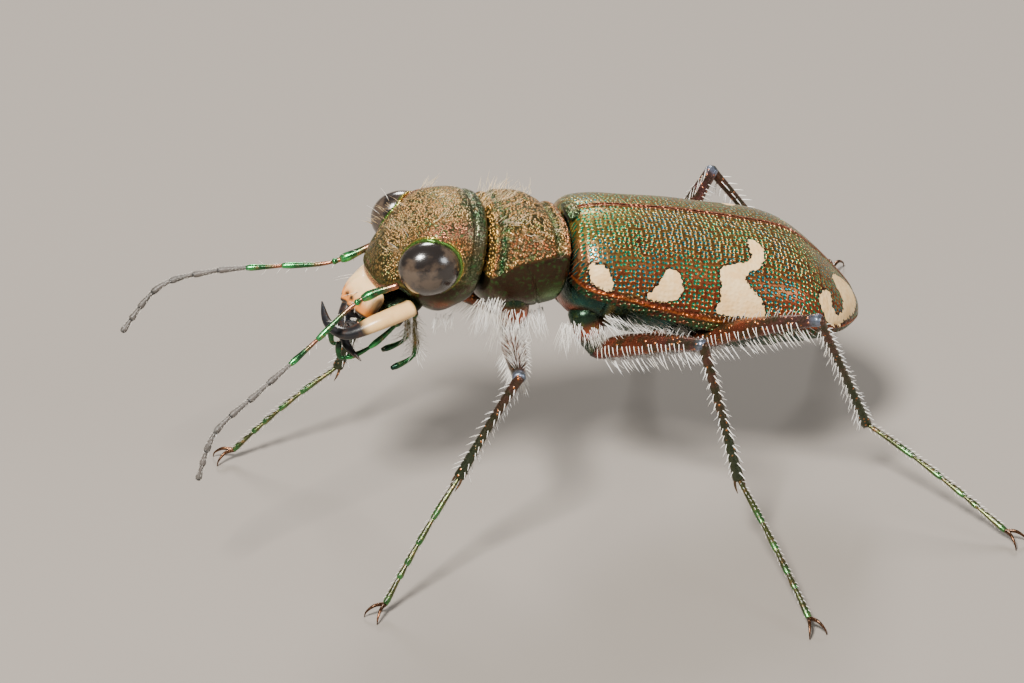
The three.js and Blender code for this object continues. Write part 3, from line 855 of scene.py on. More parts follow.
def prothorax_paint(x, y, z):
    """Copper disc with gold rims and green grooves above, smooth dark brown sides below."""
    top = step(-0.10, 0.06, z - lateral_edge(x))
    grain = noise.noise(Vector((x * 1.5, y * 1.5, z)))
    disc = mix((0.66, 0.30, 0.09), (0.28, 0.18, 0.05), 0.5 + 0.5 * grain)
    # painted highlight: a pink band along the lower sides of the disc
    disc = mix(disc, (0.60, 0.17, 0.08), 0.7 * ridge(abs(y), 1.42, 0.35))
    disc = mix(disc, (0.02, 0.12, 0.045), max(ridge(x, -2.12, 0.22), 0.8 * ridge(x, -0.5, 0.2)))
    disc = mix(disc, (0.85, 0.46, 0.10), 1 - step(-2.37, -2.30, x))
    disc = mix(disc, (0.72, 0.26, 0.12), step(-0.36, -0.26, x))
    side = mix((0.05, 0.026, 0.016), (0.06, 0.13, 0.03), step(-1.2, -0.4, x) * (1 - step(-0.2, 0.6, z)))
    return mix(side, disc, top), top


def prothorax_relief(x, y, z):
    top = step(-0.1, 0.1, z - lateral_edge(x))
    grooves = -0.10 * ridge(x, -2.13, 0.2) - 0.13 * ridge(x, -0.5, 0.2)
    rims = 0.05 * (1 - step(-2.38, -2.3, x)) + 0.03 * step(-0.38, -0.28, x)
    line = -0.05 * ridge(y, 0, 0.06) * ridge(x, -1.3, 0.9)
    bulge = 0.05 * ridge(abs(y), 0.75, 0.7) * ridge(x, -1.3, 0.8)
    edge = 0.05 * ridge(z, lateral_edge(x), 0.09)
    seam = -0.05 * ridge(x + 0.5 * z, -1.0, 0.06) * (1 - top)
    return top * (grooves + rims + line + bulge) + edge + seam


SKIN_STEPS = 2
bm = new_form()
prothorax_point = body_form(prothorax_shape, -2.47, -0.03, prothorax_paint, prothorax_relief)
add_form(bm, 96 * SKIN_STEPS, 72 * SKIN_STEPS, prothorax_point)
finish_piece(bm, "neck_shield", PRONOTUM_SKIN, ("prothorax",), BODY)


# Head
head_wide = through((-5.42, 0.5), (-5.2, 0.82), (-4.9, 1.04), (-4.2, 1.38), (-3.4, 1.5), (-2.65, 1.36),
                    (-2.4, 1.2))
head_top = through((-5.42, -0.25), (-5.28, 0.12), (-5.1, 0.52), (-4.85, 1.02), (-4.5, 1.52), (-4.1, 1.88),
                   (-3.4, 2.06), (-2.65, 2.0), (-2.4, 1.9))
head_floor = through((-5.42, -0.42), (-5, -0.62), (-4.5, -0.78), (-4, -1.12), (-3.4, -1.33), (-2.9, -1.08),
                     (-2.4, -0.75))
EYE_AT = (-4.17, 1.42, 0.50)
EYE_SIZE = (0.87, 0.62, 0.78)


def head_shape(x):
    line = max(0.4 * head_floor(x) + 0.6 * head_top(x) - 0.35, head_floor(x) + 0.1)
    return head_wide(x), line, head_top(x) - line, line - head_floor(x), 0.85


def inside_head(x, y, z):
    wide, line, up, down, crown = head_shape(x)
    reach = up if z > line else down
    edge = 1 + 1.7 * head_relief(x, y, z)
    return abs(y / wide) ** (2 / crown) + abs((z - line) / reach) ** (2 / crown) < edge


def head_paint(x, y, z):
    """Copper-gold crown, blue-green nape, red band beside the eye, dark cheeks with painted green and red
    glints.
    """
    grain = noise.noise(Vector((x * 2, y * 2, z * 2)))
    crown = mix((0.66, 0.32, 0.11), (0.30, 0.20, 0.06), 0.5 + 0.5 * grain)
    crown = mix(crown, (0.62, 0.20, 0.12), 0.85 * ridge(abs(y), 1.15, 0.34) * step(0.5, 1.0, z))
    crown = mix(crown, (0.78, 0.22, 0.04), 0.8 * ridge(abs(y), 1.38, 0.14) * step(0.7, 1.1, z))
    crown = mix(crown, (0.035, 0.11, 0.075), step(-3.5, -2.9, x) * 0.8)
    crown = mix(crown, (0.20, 0.17, 0.05), 0.55 * (1 - step(-5.15, -4.8, x)))
    # painted glints: green patches and a red spot on the dark cheek
    cheek = mix((0.05, 0.028, 0.018), (0.10, 0.12, 0.04), max(0, grain))
    cheek = mix(cheek, (0.30, 0.08, 0.03), 0.8 * ridge(z, -0.75, 0.3) * ridge(x, -3.4, 0.6))
    top = step(-0.1, 0.4, z + 0.4 * (1 - step(-5.1, -4.6, x)))
    smooth_nape = 0.55 * step(-3.5, -3.0, x)
    smooth_brow = 0.65 * ridge(abs(y), 1.25, 0.32) * step(0.7, 1.1, z)
    rough_front = 0.4 + 0.6 * step(-5.3, -4.9, x)
    return mix(cheek, crown, top), top * (1 - smooth_nape) * (1 - smooth_brow) * rough_front


def head_relief(x, y, z):
    """A hollowed crown with fine ridges beside the eyes."""
    hollow = -0.10 * ridge(y, 0, 0.75) * ridge(x, -4.45, 0.85) * step(0.6, 1.2, z)
    brow = 0.17 * ridge(abs(y), 1.28, 0.36) * ridge(x, -4.2, 0.85) * step(0.7, 1.15, z)
    strips = 0.012 * math.sin(abs(y) * 62) * ridge(abs(y), 0.95, 0.35) * ridge(x, -4.3, 0.9)
    strips *= step(0.8, 1.2, z)
    nape = -0.05 * ridge(x, -2.95, 0.12) * step(0, 0.5, z)
    wrinkles = 0.018 * math.sin(x * 48 + 2 * y * y) * ridge(x, -5.0, 0.4) * ridge(y, 0, 0.95)
    dimples = -0.10 * ridge(abs(y), 0.52, 0.22) * ridge(x, -5.1, 0.2)
    return wrinkles + dimples + hollow + brow + strips + nape


def eye_point(sign, share, turn, swell=1.0):
    """A place on the eye: share 0 is its outermost point and 1 its root."""
    polar = share * math.pi
    x = math.sin(polar) * math.cos(turn)
    z = math.sin(polar) * math.sin(turn)
    y = math.cos(polar)
    return Vector((EYE_AT[0] + EYE_SIZE[0] * x * swell, sign * (EYE_AT[1] + EYE_SIZE[1] * y * swell),
                   EYE_AT[2] + EYE_SIZE[2] * z * swell))


def eye_edge(sign, turn):
    """Where the eye meets the head, as a share."""
    share = 0.15
    while share < 0.8 and not inside_head(*eye_point(sign, share, turn)):
        share += 0.004
    return share


def add_closed_tube(bm, ring, radius, color, around=8):
    """A tube along a closed ring of places."""
    paint = bm.verts.layers.float_color["paint"]
    dust = bm.verts.layers.float["dust"]
    count = len(ring)
    made = bmesh.ops.create_grid(bm, x_segments=count, y_segments=around, size=1)
    for vert in made["verts"]:
        i = round((vert.co.x + 1) / 2 * count) % count
        angle = (vert.co.y + 1) * math.pi
        ahead = (ring[(i + 1) % count] - ring[i - 1]).normalized()
        side = ahead.cross(Vector((0, 1, 0.2))).normalized()
        rise = side.cross(ahead)
        vert.co = ring[i] + (side * math.cos(angle) + rise * math.sin(angle)) * radius
        vert[paint] = (*color(i / count), 1)
        vert[dust] = 0.2
    bmesh.ops.remove_doubles(bm, verts=made["verts"], dist=1e-5)


bm = new_form()
add_form(bm, 110 * SKIN_STEPS, 84 * SKIN_STEPS, body_form(head_shape, -5.44, -2.42, head_paint, head_relief))
for side_sign in (-1, 1):
    for offset, radius, color in ((0.0, 0.055, (0.16, 0.34, 0.06)), (-0.02, 0.045, (0.60, 0.42, 0.08))):
        swell = 1.03 - offset * 4
        ring = []
        for k in range(72):
            turn = 2 * math.pi * k / 72
            ring.append(eye_point(side_sign, eye_edge(side_sign, turn) - offset * 1.2, turn, swell))
        add_closed_tube(bm, ring, radius, lambda s, c=color: mix(c, (0.4, 0.12, 0.05), ridge(s, 0.75, 0.25)))
finish_piece(bm, "head_capsule", HEAD_SKIN, ("head",), BODY)
for side_name, side_sign in (("left", -1), ("right", 1)):
    bm = new_form()
    add_form(bm, 96, 64, lambda t, turn, s=side_sign: (eye_point(s, t * 0.72, turn), (0, 0, 0), 0))
    finish_piece(bm, "compound_eye_" + side_name, EYE, ("eye_" + side_name,), BODY)


# Mouthparts
def clypeus_point(t, angle):
    """A curved band between the forehead and the upper lip."""
    across = 2 * t - 1
    dome = math.sqrt(max(0, 1 - abs(across) ** 8))
    x = -5.27 + 0.30 * across * across - 0.13 * math.cos(angle) * dome
    z = -0.34 - 0.14 * across * across + 0.30 * signed_power(math.sin(angle), 0.7) * dome
    color = mix((0.52, 0.24, 0.16), (0.30, 0.36, 0.08), step(0.4, 0.9, math.sin(angle)))
    return Vector((x, across * 0.92, z)), color, 0.3


LIP_WIDE = 0.95
LIP_BLACK = (0.03, 0.02, 0.015)
LIP_SPOTS = (-0.62, -0.38, -0.13, 0.13, 0.38, 0.62)


def lip_point(t, angle):
    """The upper lip: a plate from its root to a front edge with a middle tooth and two low ones."""
    across = 2 * t - 1
    root = Vector((-5.26 + 0.26 * across ** 2, 0, -0.62 - 0.1 * across ** 2))
    tooth = 0.11 * ridge(across, 0, 0.16) + 0.06 * ridge(abs(across), 0.36, 0.14)
    edge = Vector((-5.80 - tooth + 0.52 * across ** 2, 0, -1.42 - 0.14 * across ** 2))
    dome = math.sqrt(max(0, 1 - abs(across) ** 14))
    s = 0.5 - 0.5 * signed_power(math.cos(angle), 0.6) * dome
    thick = 0.13 * signed_power(math.sin(angle), 0.7) * dome * (1.15 - 0.6 * s)
    bulge = 0.13 * math.sin(math.pi * min(s, 1)) * (1 - across ** 2)
    here = root.lerp(edge, s) + Vector((-0.80, 0, 0.58)) * (thick + bulge)
    here.y = LIP_WIDE * across * (1 - 0.06 * s)
    color = mix((0.84, 0.56, 0.28), (0.74, 0.25, 0.04), step(0.45, 0.85, s))
    color = mix(color, LIP_BLACK, step(0.91, 0.96, s))
    color = mix(color, LIP_BLACK, step(0.93, 0.99, abs(across)))
    pit = 0.0
    for spot in LIP_SPOTS:
        pit = max(pit, ridge(across, spot, 0.10) * ridge(s, 0.76 - 0.12 * spot ** 2, 0.10))
    return here, mix(color, (0.04, 0.02, 0.01), min(1, 1.6 * pit)), 0


bm = new_form()
add_form(bm, 40, 60, clypeus_point)
finish_piece(bm, "face_plate", HEAD_SKIN, (), BODY)
bm = new_form()
add_form(bm, 56, 90, lip_point)
finish_piece(bm, "upper_lip", SHELL, ("labrum",), BODY)


def mouth_floor_point(t, angle):
    """The dark parts that close the mouth from below, between the jaws."""
    bulge = math.sin(math.pi * t)
    y = 0.98 * math.cos(angle) * bulge ** 0.6
    z = -1.02 - 0.42 * t + 0.42 * math.sin(angle) * bulge ** 0.7
    color = mix((0.05, 0.03, 0.02), (0.03, 0.07, 0.03), abs(math.sin(3 * angle)))
    return Vector((-3.5 - 1.75 * t, y, z)), color, 0


bm = new_form()
add_form(bm, 40, 30, mouth_floor_point)
finish_piece(bm, "mouth_floor", UNDERSIDE, (), BODY)

JAWS = {
    "left": ((-4.3, -1.06, -0.98), (-5.2, -1.24, -1.36), (-5.95, -1.12, -1.82), (-6.36, -0.6, -1.82),
             (-6.4, 0.12, -1.55)),
    "right": ((-4.3, 0.95, -1.07), (-4.94, 1.0, -1.42), (-5.31, 0.8, -1.87), (-5.57, 0.35, -2.29),
              (-5.62, -0.35, -2.56), (-5.33, -1.0, -2.72)),
}
JAW_BLACK = (0.008, 0.008, 0.010)
JAW_TEETH = ((0.50, 0.40), (0.60, 0.36), (0.71, 0.28))  # share of the jaw, and length
jaw_radius = through((0, 0.27), (0.3, 0.26), (0.5, 0.21), (0.7, 0.15), (0.88, 0.09), (1, 0.02))
tooth_radius = through((0, 0.12), (0.5, 0.08), (1, 0.015))


def jaw_paint(s):
    return mix(CREAM, JAW_BLACK, step(0.36, 0.44, s))


for side_name, knots in JAWS.items():
    inward = 1 if side_name == "left" else -1
    jaw = Line(knots)
    bm = new_form()
    add_limb(bm, jaw, jaw_radius, jaw_paint, 28, 56, 0.85)
    for share, length in JAW_TEETH:
        place, ahead = jaw.at(share)[:2]
        way = Vector((0.35, inward, 0.05))
        way = (way - ahead * way.dot(ahead)).normalized()
        root = place + way * jaw_radius(share) * 0.4
        tip = root + way * (length + 0.1) + ahead * 0.16
        tooth = Line((root, root.lerp(tip, 0.5) - ahead * 0.04, tip))
        add_limb(bm, tooth, tooth_radius, lambda s: JAW_BLACK, 14, 18)
    finish_piece(bm, "jaw_" + side_name, SHELL, ("mandible_" + side_name,), BODY)


# Palps: each joint has its share of the length, its radius, its colour and its end's colour
PALP_SWELL = 1.12
PALP_GAP = 0.012
GREEN = (0.035, 0.14, 0.05)
BRIGHT_GREEN = (0.06, 0.42, 0.12)
COPPER_LIMB = (0.34, 0.14, 0.08)
PALPS = {
    "maxillary": ((-4.3, 0.85, -1.35), (-4.9, 0.62, -2.38), (-5.32, 0.42, -2.88), (-5.72, 0.38, -2.98),
                  (-5.86, 0.42, -2.5)),
    "labial": ((-3.95, 0.42, -1.2), (-3.78, 0.42, -1.9), (-3.62, 0.45, -2.75), (-4.2, 0.5, -3.2)),
}
PALP_JOINTS = {
    "maxillary": ((0.5, 0.09, (0.05, 0.04, 0.03), GREEN), (1.3, 0.08, GREEN, BRIGHT_GREEN),
                  (1.0, 0.075, GREEN, BRIGHT_GREEN), (0.9, 0.08, GREEN, (0.02, 0.05, 0.03))),
    "labial": ((0.5, 0.10, (0.10, 0.06, 0.03), GREEN), (1.6, 0.085, (0.14, 0.12, 0.05), GREEN),
               (0.9, 0.08, GREEN, (0.02, 0.06, 0.04))),
}


def add_palp(bm, line, joints):
    """The joints of a palp, one after another along its line."""
    total = sum(joint[0] for joint in joints)
    start = 0.0
    for share, thick, color, end_color in joints:
        end = start + share / total
        radius = through((0, thick * 0.62), (0.35, thick * 0.85), (0.8, thick * PALP_SWELL),
                         (1, thick * 0.8))

        def paint(s, a=color, b=end_color):
            return mix(a, b, step(0.66, 0.88, s))

        add_limb(bm, line, radius, paint, 16, 18, 1.0, start, end - PALP_GAP / total)
        start = end


palp_lines = {}
for kind, knots in PALPS.items():
    for side_name, side_sign in (("left", -1), ("right", 1)):
        line = Line([from_body((x, y * side_sign, z)) for x, y, z in knots])
        name = f"palp_{kind}_{side_name}"
        bm = new_form()
        add_palp(bm, line, PALP_JOINTS[kind])
        finish_piece(bm, name + "_joints", LIMB_SKIN, (name,))
        palp_lines[name] = line


# Antennae: four shining joints, then seven dull ones
ANTENNAE = {
    "left": ((-4.88, -1.25, -0.17), (-5.85, -1.18, -0.76), (-6.93, -1.5, -1.89), (-7.57, -1.75, -2.47),
             (-8.55, -2.15, -3.31), (-9.59, -2.55, -4.3), (-9.89, -2.85, -5.62)),
    "right": ((-4.98, 0.92, -0.13), (-6.06, 1.05, -0.83), (-7.38, 1.4, -1.22), (-9.04, 1.82, -1.72),
              (-10.43, 1.98, -2.38), (-11.32, 1.7, -3.7)),
}
JOINT_LENGTHS = (1, 0.24, 1.4, 1, 0.8, 0.7, 0.64, 0.6, 0.55, 0.4, 0.4)
JOINT_STARTS = [sum(JOINT_LENGTHS[:i]) / sum(JOINT_LENGTHS) for i in range(len(JOINT_LENGTHS) + 1)]
METALLIC_JOINTS = 4
SCAPE_THICK = 0.125
JOINT_THICK = 0.085


def antenna_base_paint(s):
    return mix(mix(COPPER_LIMB, GREEN, step(0.1, 0.5, s)), BRIGHT_GREEN, step(0.7, 0.85, s))


def antenna_tip_paint(s):
    return mix((0.10, 0.085, 0.075), (0.03, 0.028, 0.028), step(0.9, 0.98, s))


def add_antenna_part(name, line, numbers, paint, skin):
    """Some of the joints of an antenna, each widest near its end."""
    bm = new_form()
    for i in numbers:
        thick = SCAPE_THICK if i == 0 else JOINT_THICK
        root = thick * (0.75 if i < 2 else 0.6)
        radius = through((0, root), (0.5, thick * 0.85), (0.86, thick * 1.08), (1, thick * 0.85))
        add_limb(bm, line, radius, paint, 14, 22, 1.0, JOINT_STARTS[i] + 0.001, JOINT_STARTS[i + 1] - 0.003)
    finish_piece(bm, name + "_joints", skin, (name,))


antenna_lines = {}
for side_name, knots in ANTENNAE.items():
    line = Line([from_body(knot) for knot in knots])
    antenna_lines[side_name] = line
    shining = range(METALLIC_JOINTS)
    dull = range(METALLIC_JOINTS, len(JOINT_LENGTHS))
    add_antenna_part(f"antenna_{side_name}_base", line, shining, antenna_base_paint, LIMB_SKIN)
    add_antenna_part(f"antenna_{side_name}_tip", line, dull, antenna_tip_paint, DULL_LIMB)


# Legs, from hip to claws, in the floor's frame
COXA_ROOT = {"fore": (-1.42, 1.0, -0.35), "mid": (0.75, 1.05, -0.9), "hind": (2.75, 0.95, -1.0)}
LEGS = {
    "left_fore": ((-1.48, -0.81, 5.21), (-2.1, -3.75, 5.78), (-3.92, -4.1, 3.17), (-6.45, -5.4, 0.3)),
    "left_mid": ((0.8, -1.35, 4.71), (3.05, -4, 6.03), (3.69, -5.2, 2.32), (4.36, -9.45, 0.3)),
    "left_hind": ((3, -1.38, 4.49), (6.26, -4.35, 6.44), (8.13, -3, 1.93), (10.89, -7, 0.3)),
    "right_fore": ((-1.48, 0.81, 5.3), (-3.77, 3.46, 5.56), (-5.41, 3.3, 2.55), (-8.53, 3.35, 0.3)),
    "right_mid": ((0.8, 1.35, 4.71), (3.15, 3.9, 5.7), (3.9, 5.1, 2.05), (5.3, 8.6, 0.3)),
    "right_hind": ((3, 1.38, 4.49), (5.94, 4.33, 6.38), (8.8, 3.9, 2.1), (10.8, 7.8, 0.3)),
}
FEMUR_BOW = 0.12
TIBIA_BOW = 0.05
TARSUS_BOW = 0.12
SPUR_AT = 0.985
SPUR_BROWN = (0.16, 0.09, 0.05)
TARSUS_JOINTS = (0.34, 0.20, 0.16, 0.10, 0.20)
CLAW_LENGTH = 0.62
CLAW_SPLAY = 26  # degrees
CLAW_BROWN = (0.10, 0.045, 0.02)
coxa_radius = through((0, 0.46), (0.5, 0.42), (1, 0.24))
trochanter_radius = through((0, 0.2), (0.5, 0.25), (1, 0.2))
femur_radius = through((0, 0.20), (0.12, 0.31), (0.35, 0.33), (0.7, 0.26), (0.9, 0.20), (1, 0.19))
tibia_radius = through((0, 0.17), (0.06, 0.15), (0.5, 0.125), (0.9, 0.15), (1, 0.17))
spur_radius = through((0, 0.045), (0.6, 0.03), (1, 0.008))
tarsus_radius = through((0, 0.062), (0.3, 0.075), (0.85, 0.10), (1, 0.085))
claw_radius = through((0, 0.06), (0.5, 0.045), (1, 0.012))


def coxa_paint(s):
    return mix(GREEN_BLACK, (0.42, 0.09, 0.04), ridge(s, 0.42, 0.3))


def trochanter_paint(s):
    return mix((0.03, 0.02, 0.02), (0.22, 0.05, 0.03), ridge(s, 0.6, 0.3))


def femur_paint(s):
    color = mix((0.17, 0.045, 0.022), (0.11, 0.05, 0.045), step(0.45, 0.88, s))
    return mix(color, (0.22, 0.25, 0.34), step(0.94, 0.98, s))


def tibia_paint(s):
    return mix((0.10, 0.05, 0.035), (0.05, 0.06, 0.035), step(0.1, 0.8, s))


def tarsus_paint(s):
    return mix((0.12, 0.14, 0.05), BRIGHT_GREEN, 0.45 * step(0.6, 0.9, s))


def bowed(a, b, lift):
    """A line between two places of the floor frame, arched upwards."""
    a = shifted(a)
    b = shifted(b)
    middle = (a + b) / 2 + Vector((0, 0, lift))
    arch = Vector((0, 0, lift * 0.25))
    return Line((a, (a + middle) / 2 + arch, middle, (b + middle) / 2 + arch, b))


def add_hip(leg, coxa_start, hip_at, knee_at):
    bm = new_form()
    coxa = Line((coxa_start, coxa_start.lerp(hip_at, 0.5) - Vector((0, 0, 0.1)), hip_at))
    add_limb(bm, coxa, coxa_radius, coxa_paint, 24, 22)
    trochanter = Line((hip_at.lerp(coxa_start, 0.15), hip_at, hip_at.lerp(knee_at, 0.14)))
    add_limb(bm, trochanter, trochanter_radius, trochanter_paint, 20, 16)
    finish_piece(bm, leg + "_hip", UNDERSIDE, (leg + "_coxa",))


def add_thigh(leg, femur):
    bm = new_form()
    add_limb(bm, femur, femur_radius, femur_paint, 28, 60, 0.92, 0.05, 1.0)
    finish_piece(bm, leg + "_thigh", LEG_SKIN, (leg + "_femur",))


def add_shin(leg, tibia):
    """A tibia with a spur on each side of its end."""
    bm = new_form()
    add_limb(bm, tibia, tibia_radius, tibia_paint, 18, 56, 0.9)
    ankle_at, ahead, side = tibia.at(SPUR_AT)[:3]
    for way in (side, -side):
        root = ankle_at + way * 0.1
        bend = ankle_at + way * 0.17 + ahead * 0.2
        tip = ankle_at + way * 0.15 + ahead * 0.46
        add_limb(bm, Line((root, bend, tip)), spur_radius, lambda s: SPUR_BROWN, 8, 12)
    finish_piece(bm, leg + "_shin", LEG_SKIN, (leg + "_tibia",))


def add_foot(leg, tarsus):
    """Five joints, then two splayed claws that hook down to the floor."""
    bm = new_form()
    start = 0.0
    for share in TARSUS_JOINTS:
        end = start + share
        add_limb(bm, tarsus, tarsus_radius, tarsus_paint, 14, 16, 0.8, start, end - 0.006)
        start = end
    toe_at, ahead = tarsus.at(1.0)[:2]
    flat_ahead = Vector((ahead.x, ahead.y, 0)).normalized()
    for splay in (-CLAW_SPLAY, CLAW_SPLAY):
        way = Matrix.Rotation(math.radians(splay), 3, "Z") @ flat_ahead
        claw = Line((toe_at - flat_ahead * 0.05, toe_at + way * CLAW_LENGTH * 0.45 + Vector((0, 0, 0.03)),
                     toe_at + way * CLAW_LENGTH * 0.85 - Vector((0, 0, 0.12)),
                     toe_at + way * CLAW_LENGTH * 0.95 - Vector((0, 0, 0.28))))
        add_limb(bm, claw, claw_radius, lambda s: CLAW_BROWN, 10, 20)
    finish_piece(bm, leg + "_foot", LIMB_SKIN, (leg + "_tarsus",))


leg_lines = {}
for leg, (hip, knee, ankle, toe) in LEGS.items():
    side_name, pair = leg.split("_")
    side_sign = -1 if side_name == "left" else 1
    x, y, z = COXA_ROOT[pair]
    add_hip(leg, from_body((x, y * side_sign, z + 0.1)), shifted(hip), shifted(knee))
    femur = bowed(hip, knee, FEMUR_BOW)
    tibia = bowed(knee, ankle, TIBIA_BOW)
    tarsus = bowed(ankle, toe, TARSUS_BOW)
    leg_lines[leg] = (femur, tibia, tarsus)
    add_thigh(leg, femur)
    add_shin(leg, tibia)
    add_foot(leg, tarsus)


# Bristles. Each root has a place on a flat layout of the skin it grows from.
def jitter(spread):
    return (draw.random() * 2 - 1) * spread


def even(size):
    """The same size all along."""
    return lambda share: size


def row_of_bristles(coat, line, band, span, spacing, angle, length, lean, out_at,
                    thick=0.014, spread=0.15, droop=0.0):
    """A comb along a limb: angle is round the limb in degrees, lean points along it and droop down."""
    start, end = span
    count = int(line.total * (end - start) / spacing)
    for i in range(count):
        share = start + (end - start) * (i + 0.5 + jitter(0.25)) / count
        turn = math.radians(angle) + jitter(spread)
        root, way, ahead = line.on(share, turn, out_at(share) * 0.92)
        fall = Vector((jitter(0.08), jitter(0.08), jitter(0.08) - droop))
        aim = way + ahead * (lean + jitter(0.15)) + fall
        size = length * (0.85 + 0.3 * draw.random())
        bend = ahead * (0.12 + jitter(0.1)) - way * (0.06 + jitter(0.06))
        uv = (share, band + 0.03 * (turn / math.tau % 1))
        coat.add(root, aim, size, thick * (0.85 + 0.3 * draw.random()), bend, uv)


def tuft(coat, centre, aim, count, reach, length, thick, uv, splay, squash):
    """A bunch of bristles from a patch of skin."""
    for k in range(count):
        offset = Vector((jitter(reach) * squash[0], jitter(reach) * squash[1], jitter(reach) * squash[2]))
        way = Vector(aim).normalized() + Vector((jitter(splay), jitter(splay), jitter(splay)))
        bend = Vector((jitter(0.2), jitter(0.2), -0.15 + jitter(0.15)))
        place = (uv[0] + offset.x * 0.02, uv[1] + offset.y * 0.02)
        coat.add(centre + offset, way, length * (0.65 + 0.5 * draw.random()), thick, bend, place)


SIDE_COMB = math.degrees(0.5)  # above the side of the limb


def add_thigh_bristles(coat, femur, band, pair, outer):
    """Shaggy on the fore femur, and in five combs on the others. outer is the angle of the outer side."""
    if pair == "fore":
        for angle in (-115, -95, -75, -55, 60, 80, 100, 120):
            row_of_bristles(coat, femur, band, (0.10, 0.93), 0.06, angle, 0.5, 0.3, femur_radius, 0.012, 0.2)
        row_of_bristles(coat, femur, band, (0.12, 0.9), 0.12, outer, 0.25, 0.7, femur_radius,
                        0.012, 0.5, 0.5)
        return
    row_of_bristles(coat, femur, band, (0.10, 0.9), 0.13, 80, 0.36, 0.7, femur_radius, 0.015, 0.12)
    for angle in (SIDE_COMB, 180 - SIDE_COMB):
        row_of_bristles(coat, femur, band, (0.06, 0.88), 0.145, angle, 0.38, 0.8, femur_radius,
                        0.016, 0.12, 1.5)
    for angle in (-75, -100):
        row_of_bristles(coat, femur, band, (0.04, 0.92), 0.13, angle, 0.58, 0.35, femur_radius, 0.016, 0.12)


def add_shin_bristles(coat, tibia, tarsus, band, pair):
    """Spaced combs along the tibia, a brush under the fore one, and short hairs on the tarsus."""
    for angle, length in ((85, 0.29), (-75, 0.32), (-105, 0.32), (12, 0.24), (168, 0.24)):
        row_of_bristles(coat, tibia, band + 0.05, (0.05, 0.97), 0.25, angle, length, 0.75, tibia_radius,
                        0.018, 0.08)
    if pair == "fore":
        row_of_bristles(coat, tibia, band + 0.05, (0.1, 0.95), 0.06, -90, 0.2, 0.5, tibia_radius, 0.01, 0.6)
    for angle in (-70, -110, 60, 120):
        row_of_bristles(coat, tarsus, band + 0.1, (0.03, 0.97), 0.15, angle, 0.13, 1.2, even(0.085), 0.01)


for number, (leg, (femur, tibia, tarsus)) in enumerate(leg_lines.items()):
    side_name, pair = leg.split("_")
    side_sign = -1 if side_name == "left" else 1
    band = number / len(leg_lines)
    coat = Coat()
    add_thigh_bristles(coat, femur, band, pair, 0 if femur.at(0.5)[2].y * side_sign > 0 else 180)
    coat.finish(leg + "_thigh_bristles", "leg_copper")
    coat = Coat()
    add_shin_bristles(coat, tibia, tarsus, band, pair)
    coat.finish(leg + "_shin_bristles", "leg_copper")

# White hair under the body and golden hair on top, in the body's frame: place, way, count, reach, length
HANGING = (
    ((-2.1, 1.30, -0.45), (-0.35, 0.6, -0.9), 60, 0.40, 0.95),
    ((-1.5, 1.25, -0.75), (-0.1, 0.5, -1), 70, 0.42, 1.05),
    ((-0.8, 1.10, -0.80), (0.25, 0.5, -1), 40, 0.35, 0.85),
    ((0.35, 1.35, -1.05), (-0.1, 0.6, -1), 60, 0.32, 0.75),
    ((0.9, 1.50, -1.05), (0.35, 0.6, -0.9), 40, 0.30, 0.65),
    ((1.5, 1.70, -0.55), (0.9, 0.8, -0.25), 34, 0.45, 0.7),
    ((2.4, 1.75, -0.65), (0.9, 0.8, -0.2), 40, 0.50, 0.7),
    ((3.3, 1.75, -0.75), (1, 0.7, -0.2), 34, 0.45, 0.6),
    ((-3.3, 1.15, -1.1), (-0.2, 0.5, -0.9), 30, 0.32, 0.42),
)
GOLDEN = (
    ((-2.15, 0.15, 1.93), (0.5, 0.15, 1), 26, 0.5, 0.55),
    ((-2.0, 0.9, 1.75), (0.3, 0.5, 0.9), 26, 0.45, 0.45),
    ((-1.2, 1.2, 1.55), (0.2, 0.9, 0.8), 30, 0.55, 0.28),
    ((-3.9, 0.85, 1.72), (0.3, 0.1, 1), 12, 0.2, 0.5),
    ((-4.75, 0.45, 1.25), (-0.9, 0.1, 0.7), 26, 0.42, 0.34),
    ((-5.0, 0.85, 0.65), (-1, 0.2, 0.6), 14, 0.22, 0.34),
)
TUFT_SPLAY = 0.36
TUFT_SPREAD = (1, 0.3, 0.3)
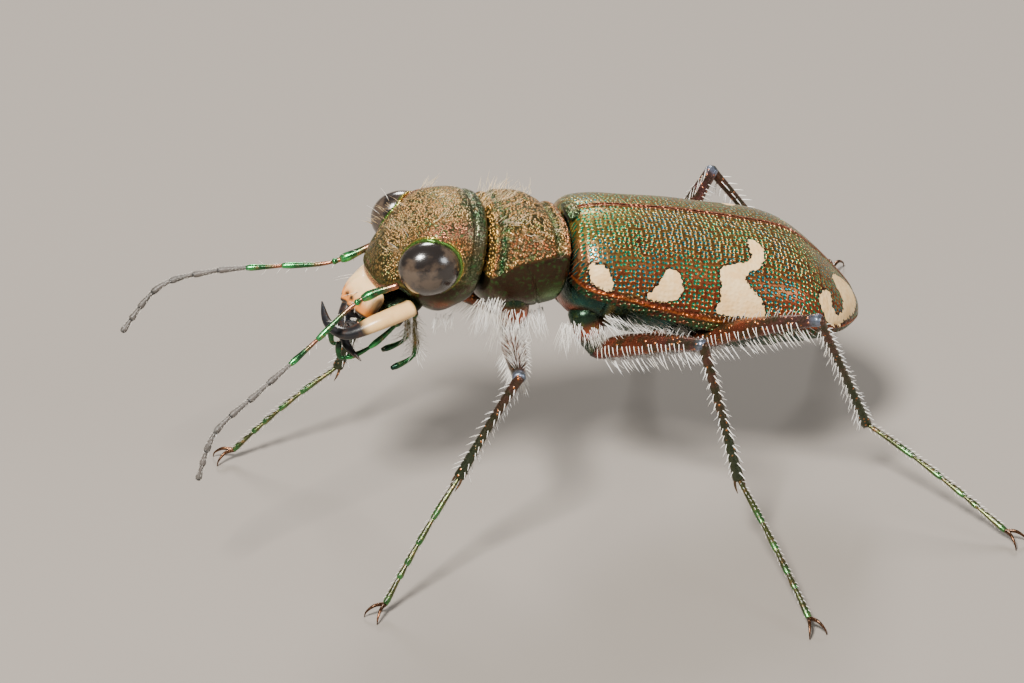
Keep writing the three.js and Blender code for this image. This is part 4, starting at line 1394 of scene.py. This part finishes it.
TUFTED = (
    ("body_bristles", "underside", BRISTLE, HANGING, 0.0085),
    ("golden_bristles", "pronotum_bronze", GOLD_BRISTLE, GOLDEN, 0.0075),
)
for name, slot, material, tufts, thick in TUFTED:
    coat = Coat()
    for side_sign in (-1, 1):
        for (x, y, z), aim, count, reach, length in tufts:
            centre = from_body((x, y * side_sign, z))
            way = body_way((aim[0], aim[1] * side_sign, aim[2]))
            uv = ((0.25 if side_sign < 0 else 0.75) + x * 0.03, 0.5 + z * 0.1)
            tuft(coat, centre, way, count, reach, length, thick, uv, TUFT_SPLAY, TUFT_SPREAD)
    coat.finish(name, slot, material)

# Single long hairs of the face: place and way
FACE_HAIRS = (((-5.0, 0.95, 0.8), (-1, 0.2, 0.8)), ((-4.8, 1.02, 1.2), (-0.6, 0.3, 1)),
              ((-5.6, 0.4, -0.9), (-1, 0.1, -0.2)), ((-5.5, 0.66, -0.95), (-1, 0.2, -0.3)))
coat = Coat()
for number, (name, line) in enumerate(palp_lines.items()):
    band = 0.2 * number
    if "labial" in name:
        for angle in (-90, 0, 180, 90):
            row_of_bristles(coat, line, band, (0.15, 0.7), 0.055, angle, 0.40, 0.3, even(0.08),
                            0.010, 0.6, 0.3)
    else:
        row_of_bristles(coat, line, band, (0.2, 0.9), 0.2, -60, 0.22, 0.6, even(0.07), 0.008, 1.5)
for side_sign in (-1, 1):
    for place, aim in FACE_HAIRS:
        centre = from_body((place[0], place[1] * side_sign, place[2]))
        way = body_way((aim[0], aim[1] * side_sign, aim[2]))
        coat.add(centre, way, 0.5, 0.010, Vector((-0.1, 0, -0.15)), (0.9, 0.5))
coat.finish("mouth_bristles", "green_limb")

coat = Coat()
for number, line in enumerate(antenna_lines.values()):
    band = 0.5 * number
    for angle in (0, 120, 240):
        row_of_bristles(coat, line, band, (0.05, 0.42), 0.33, angle, 0.17, 0.7, even(0.08), 0.010, 0.5)
    for angle in range(0, 360, 60):
        row_of_bristles(coat, line, band + 0.2, (0.44, 0.995), 0.09, angle, 0.06, 1.6, even(0.075),
                        0.006, 0.5)
coat.finish("antenna_bristles", "antenna_dull")

add_camera()
add_studio()
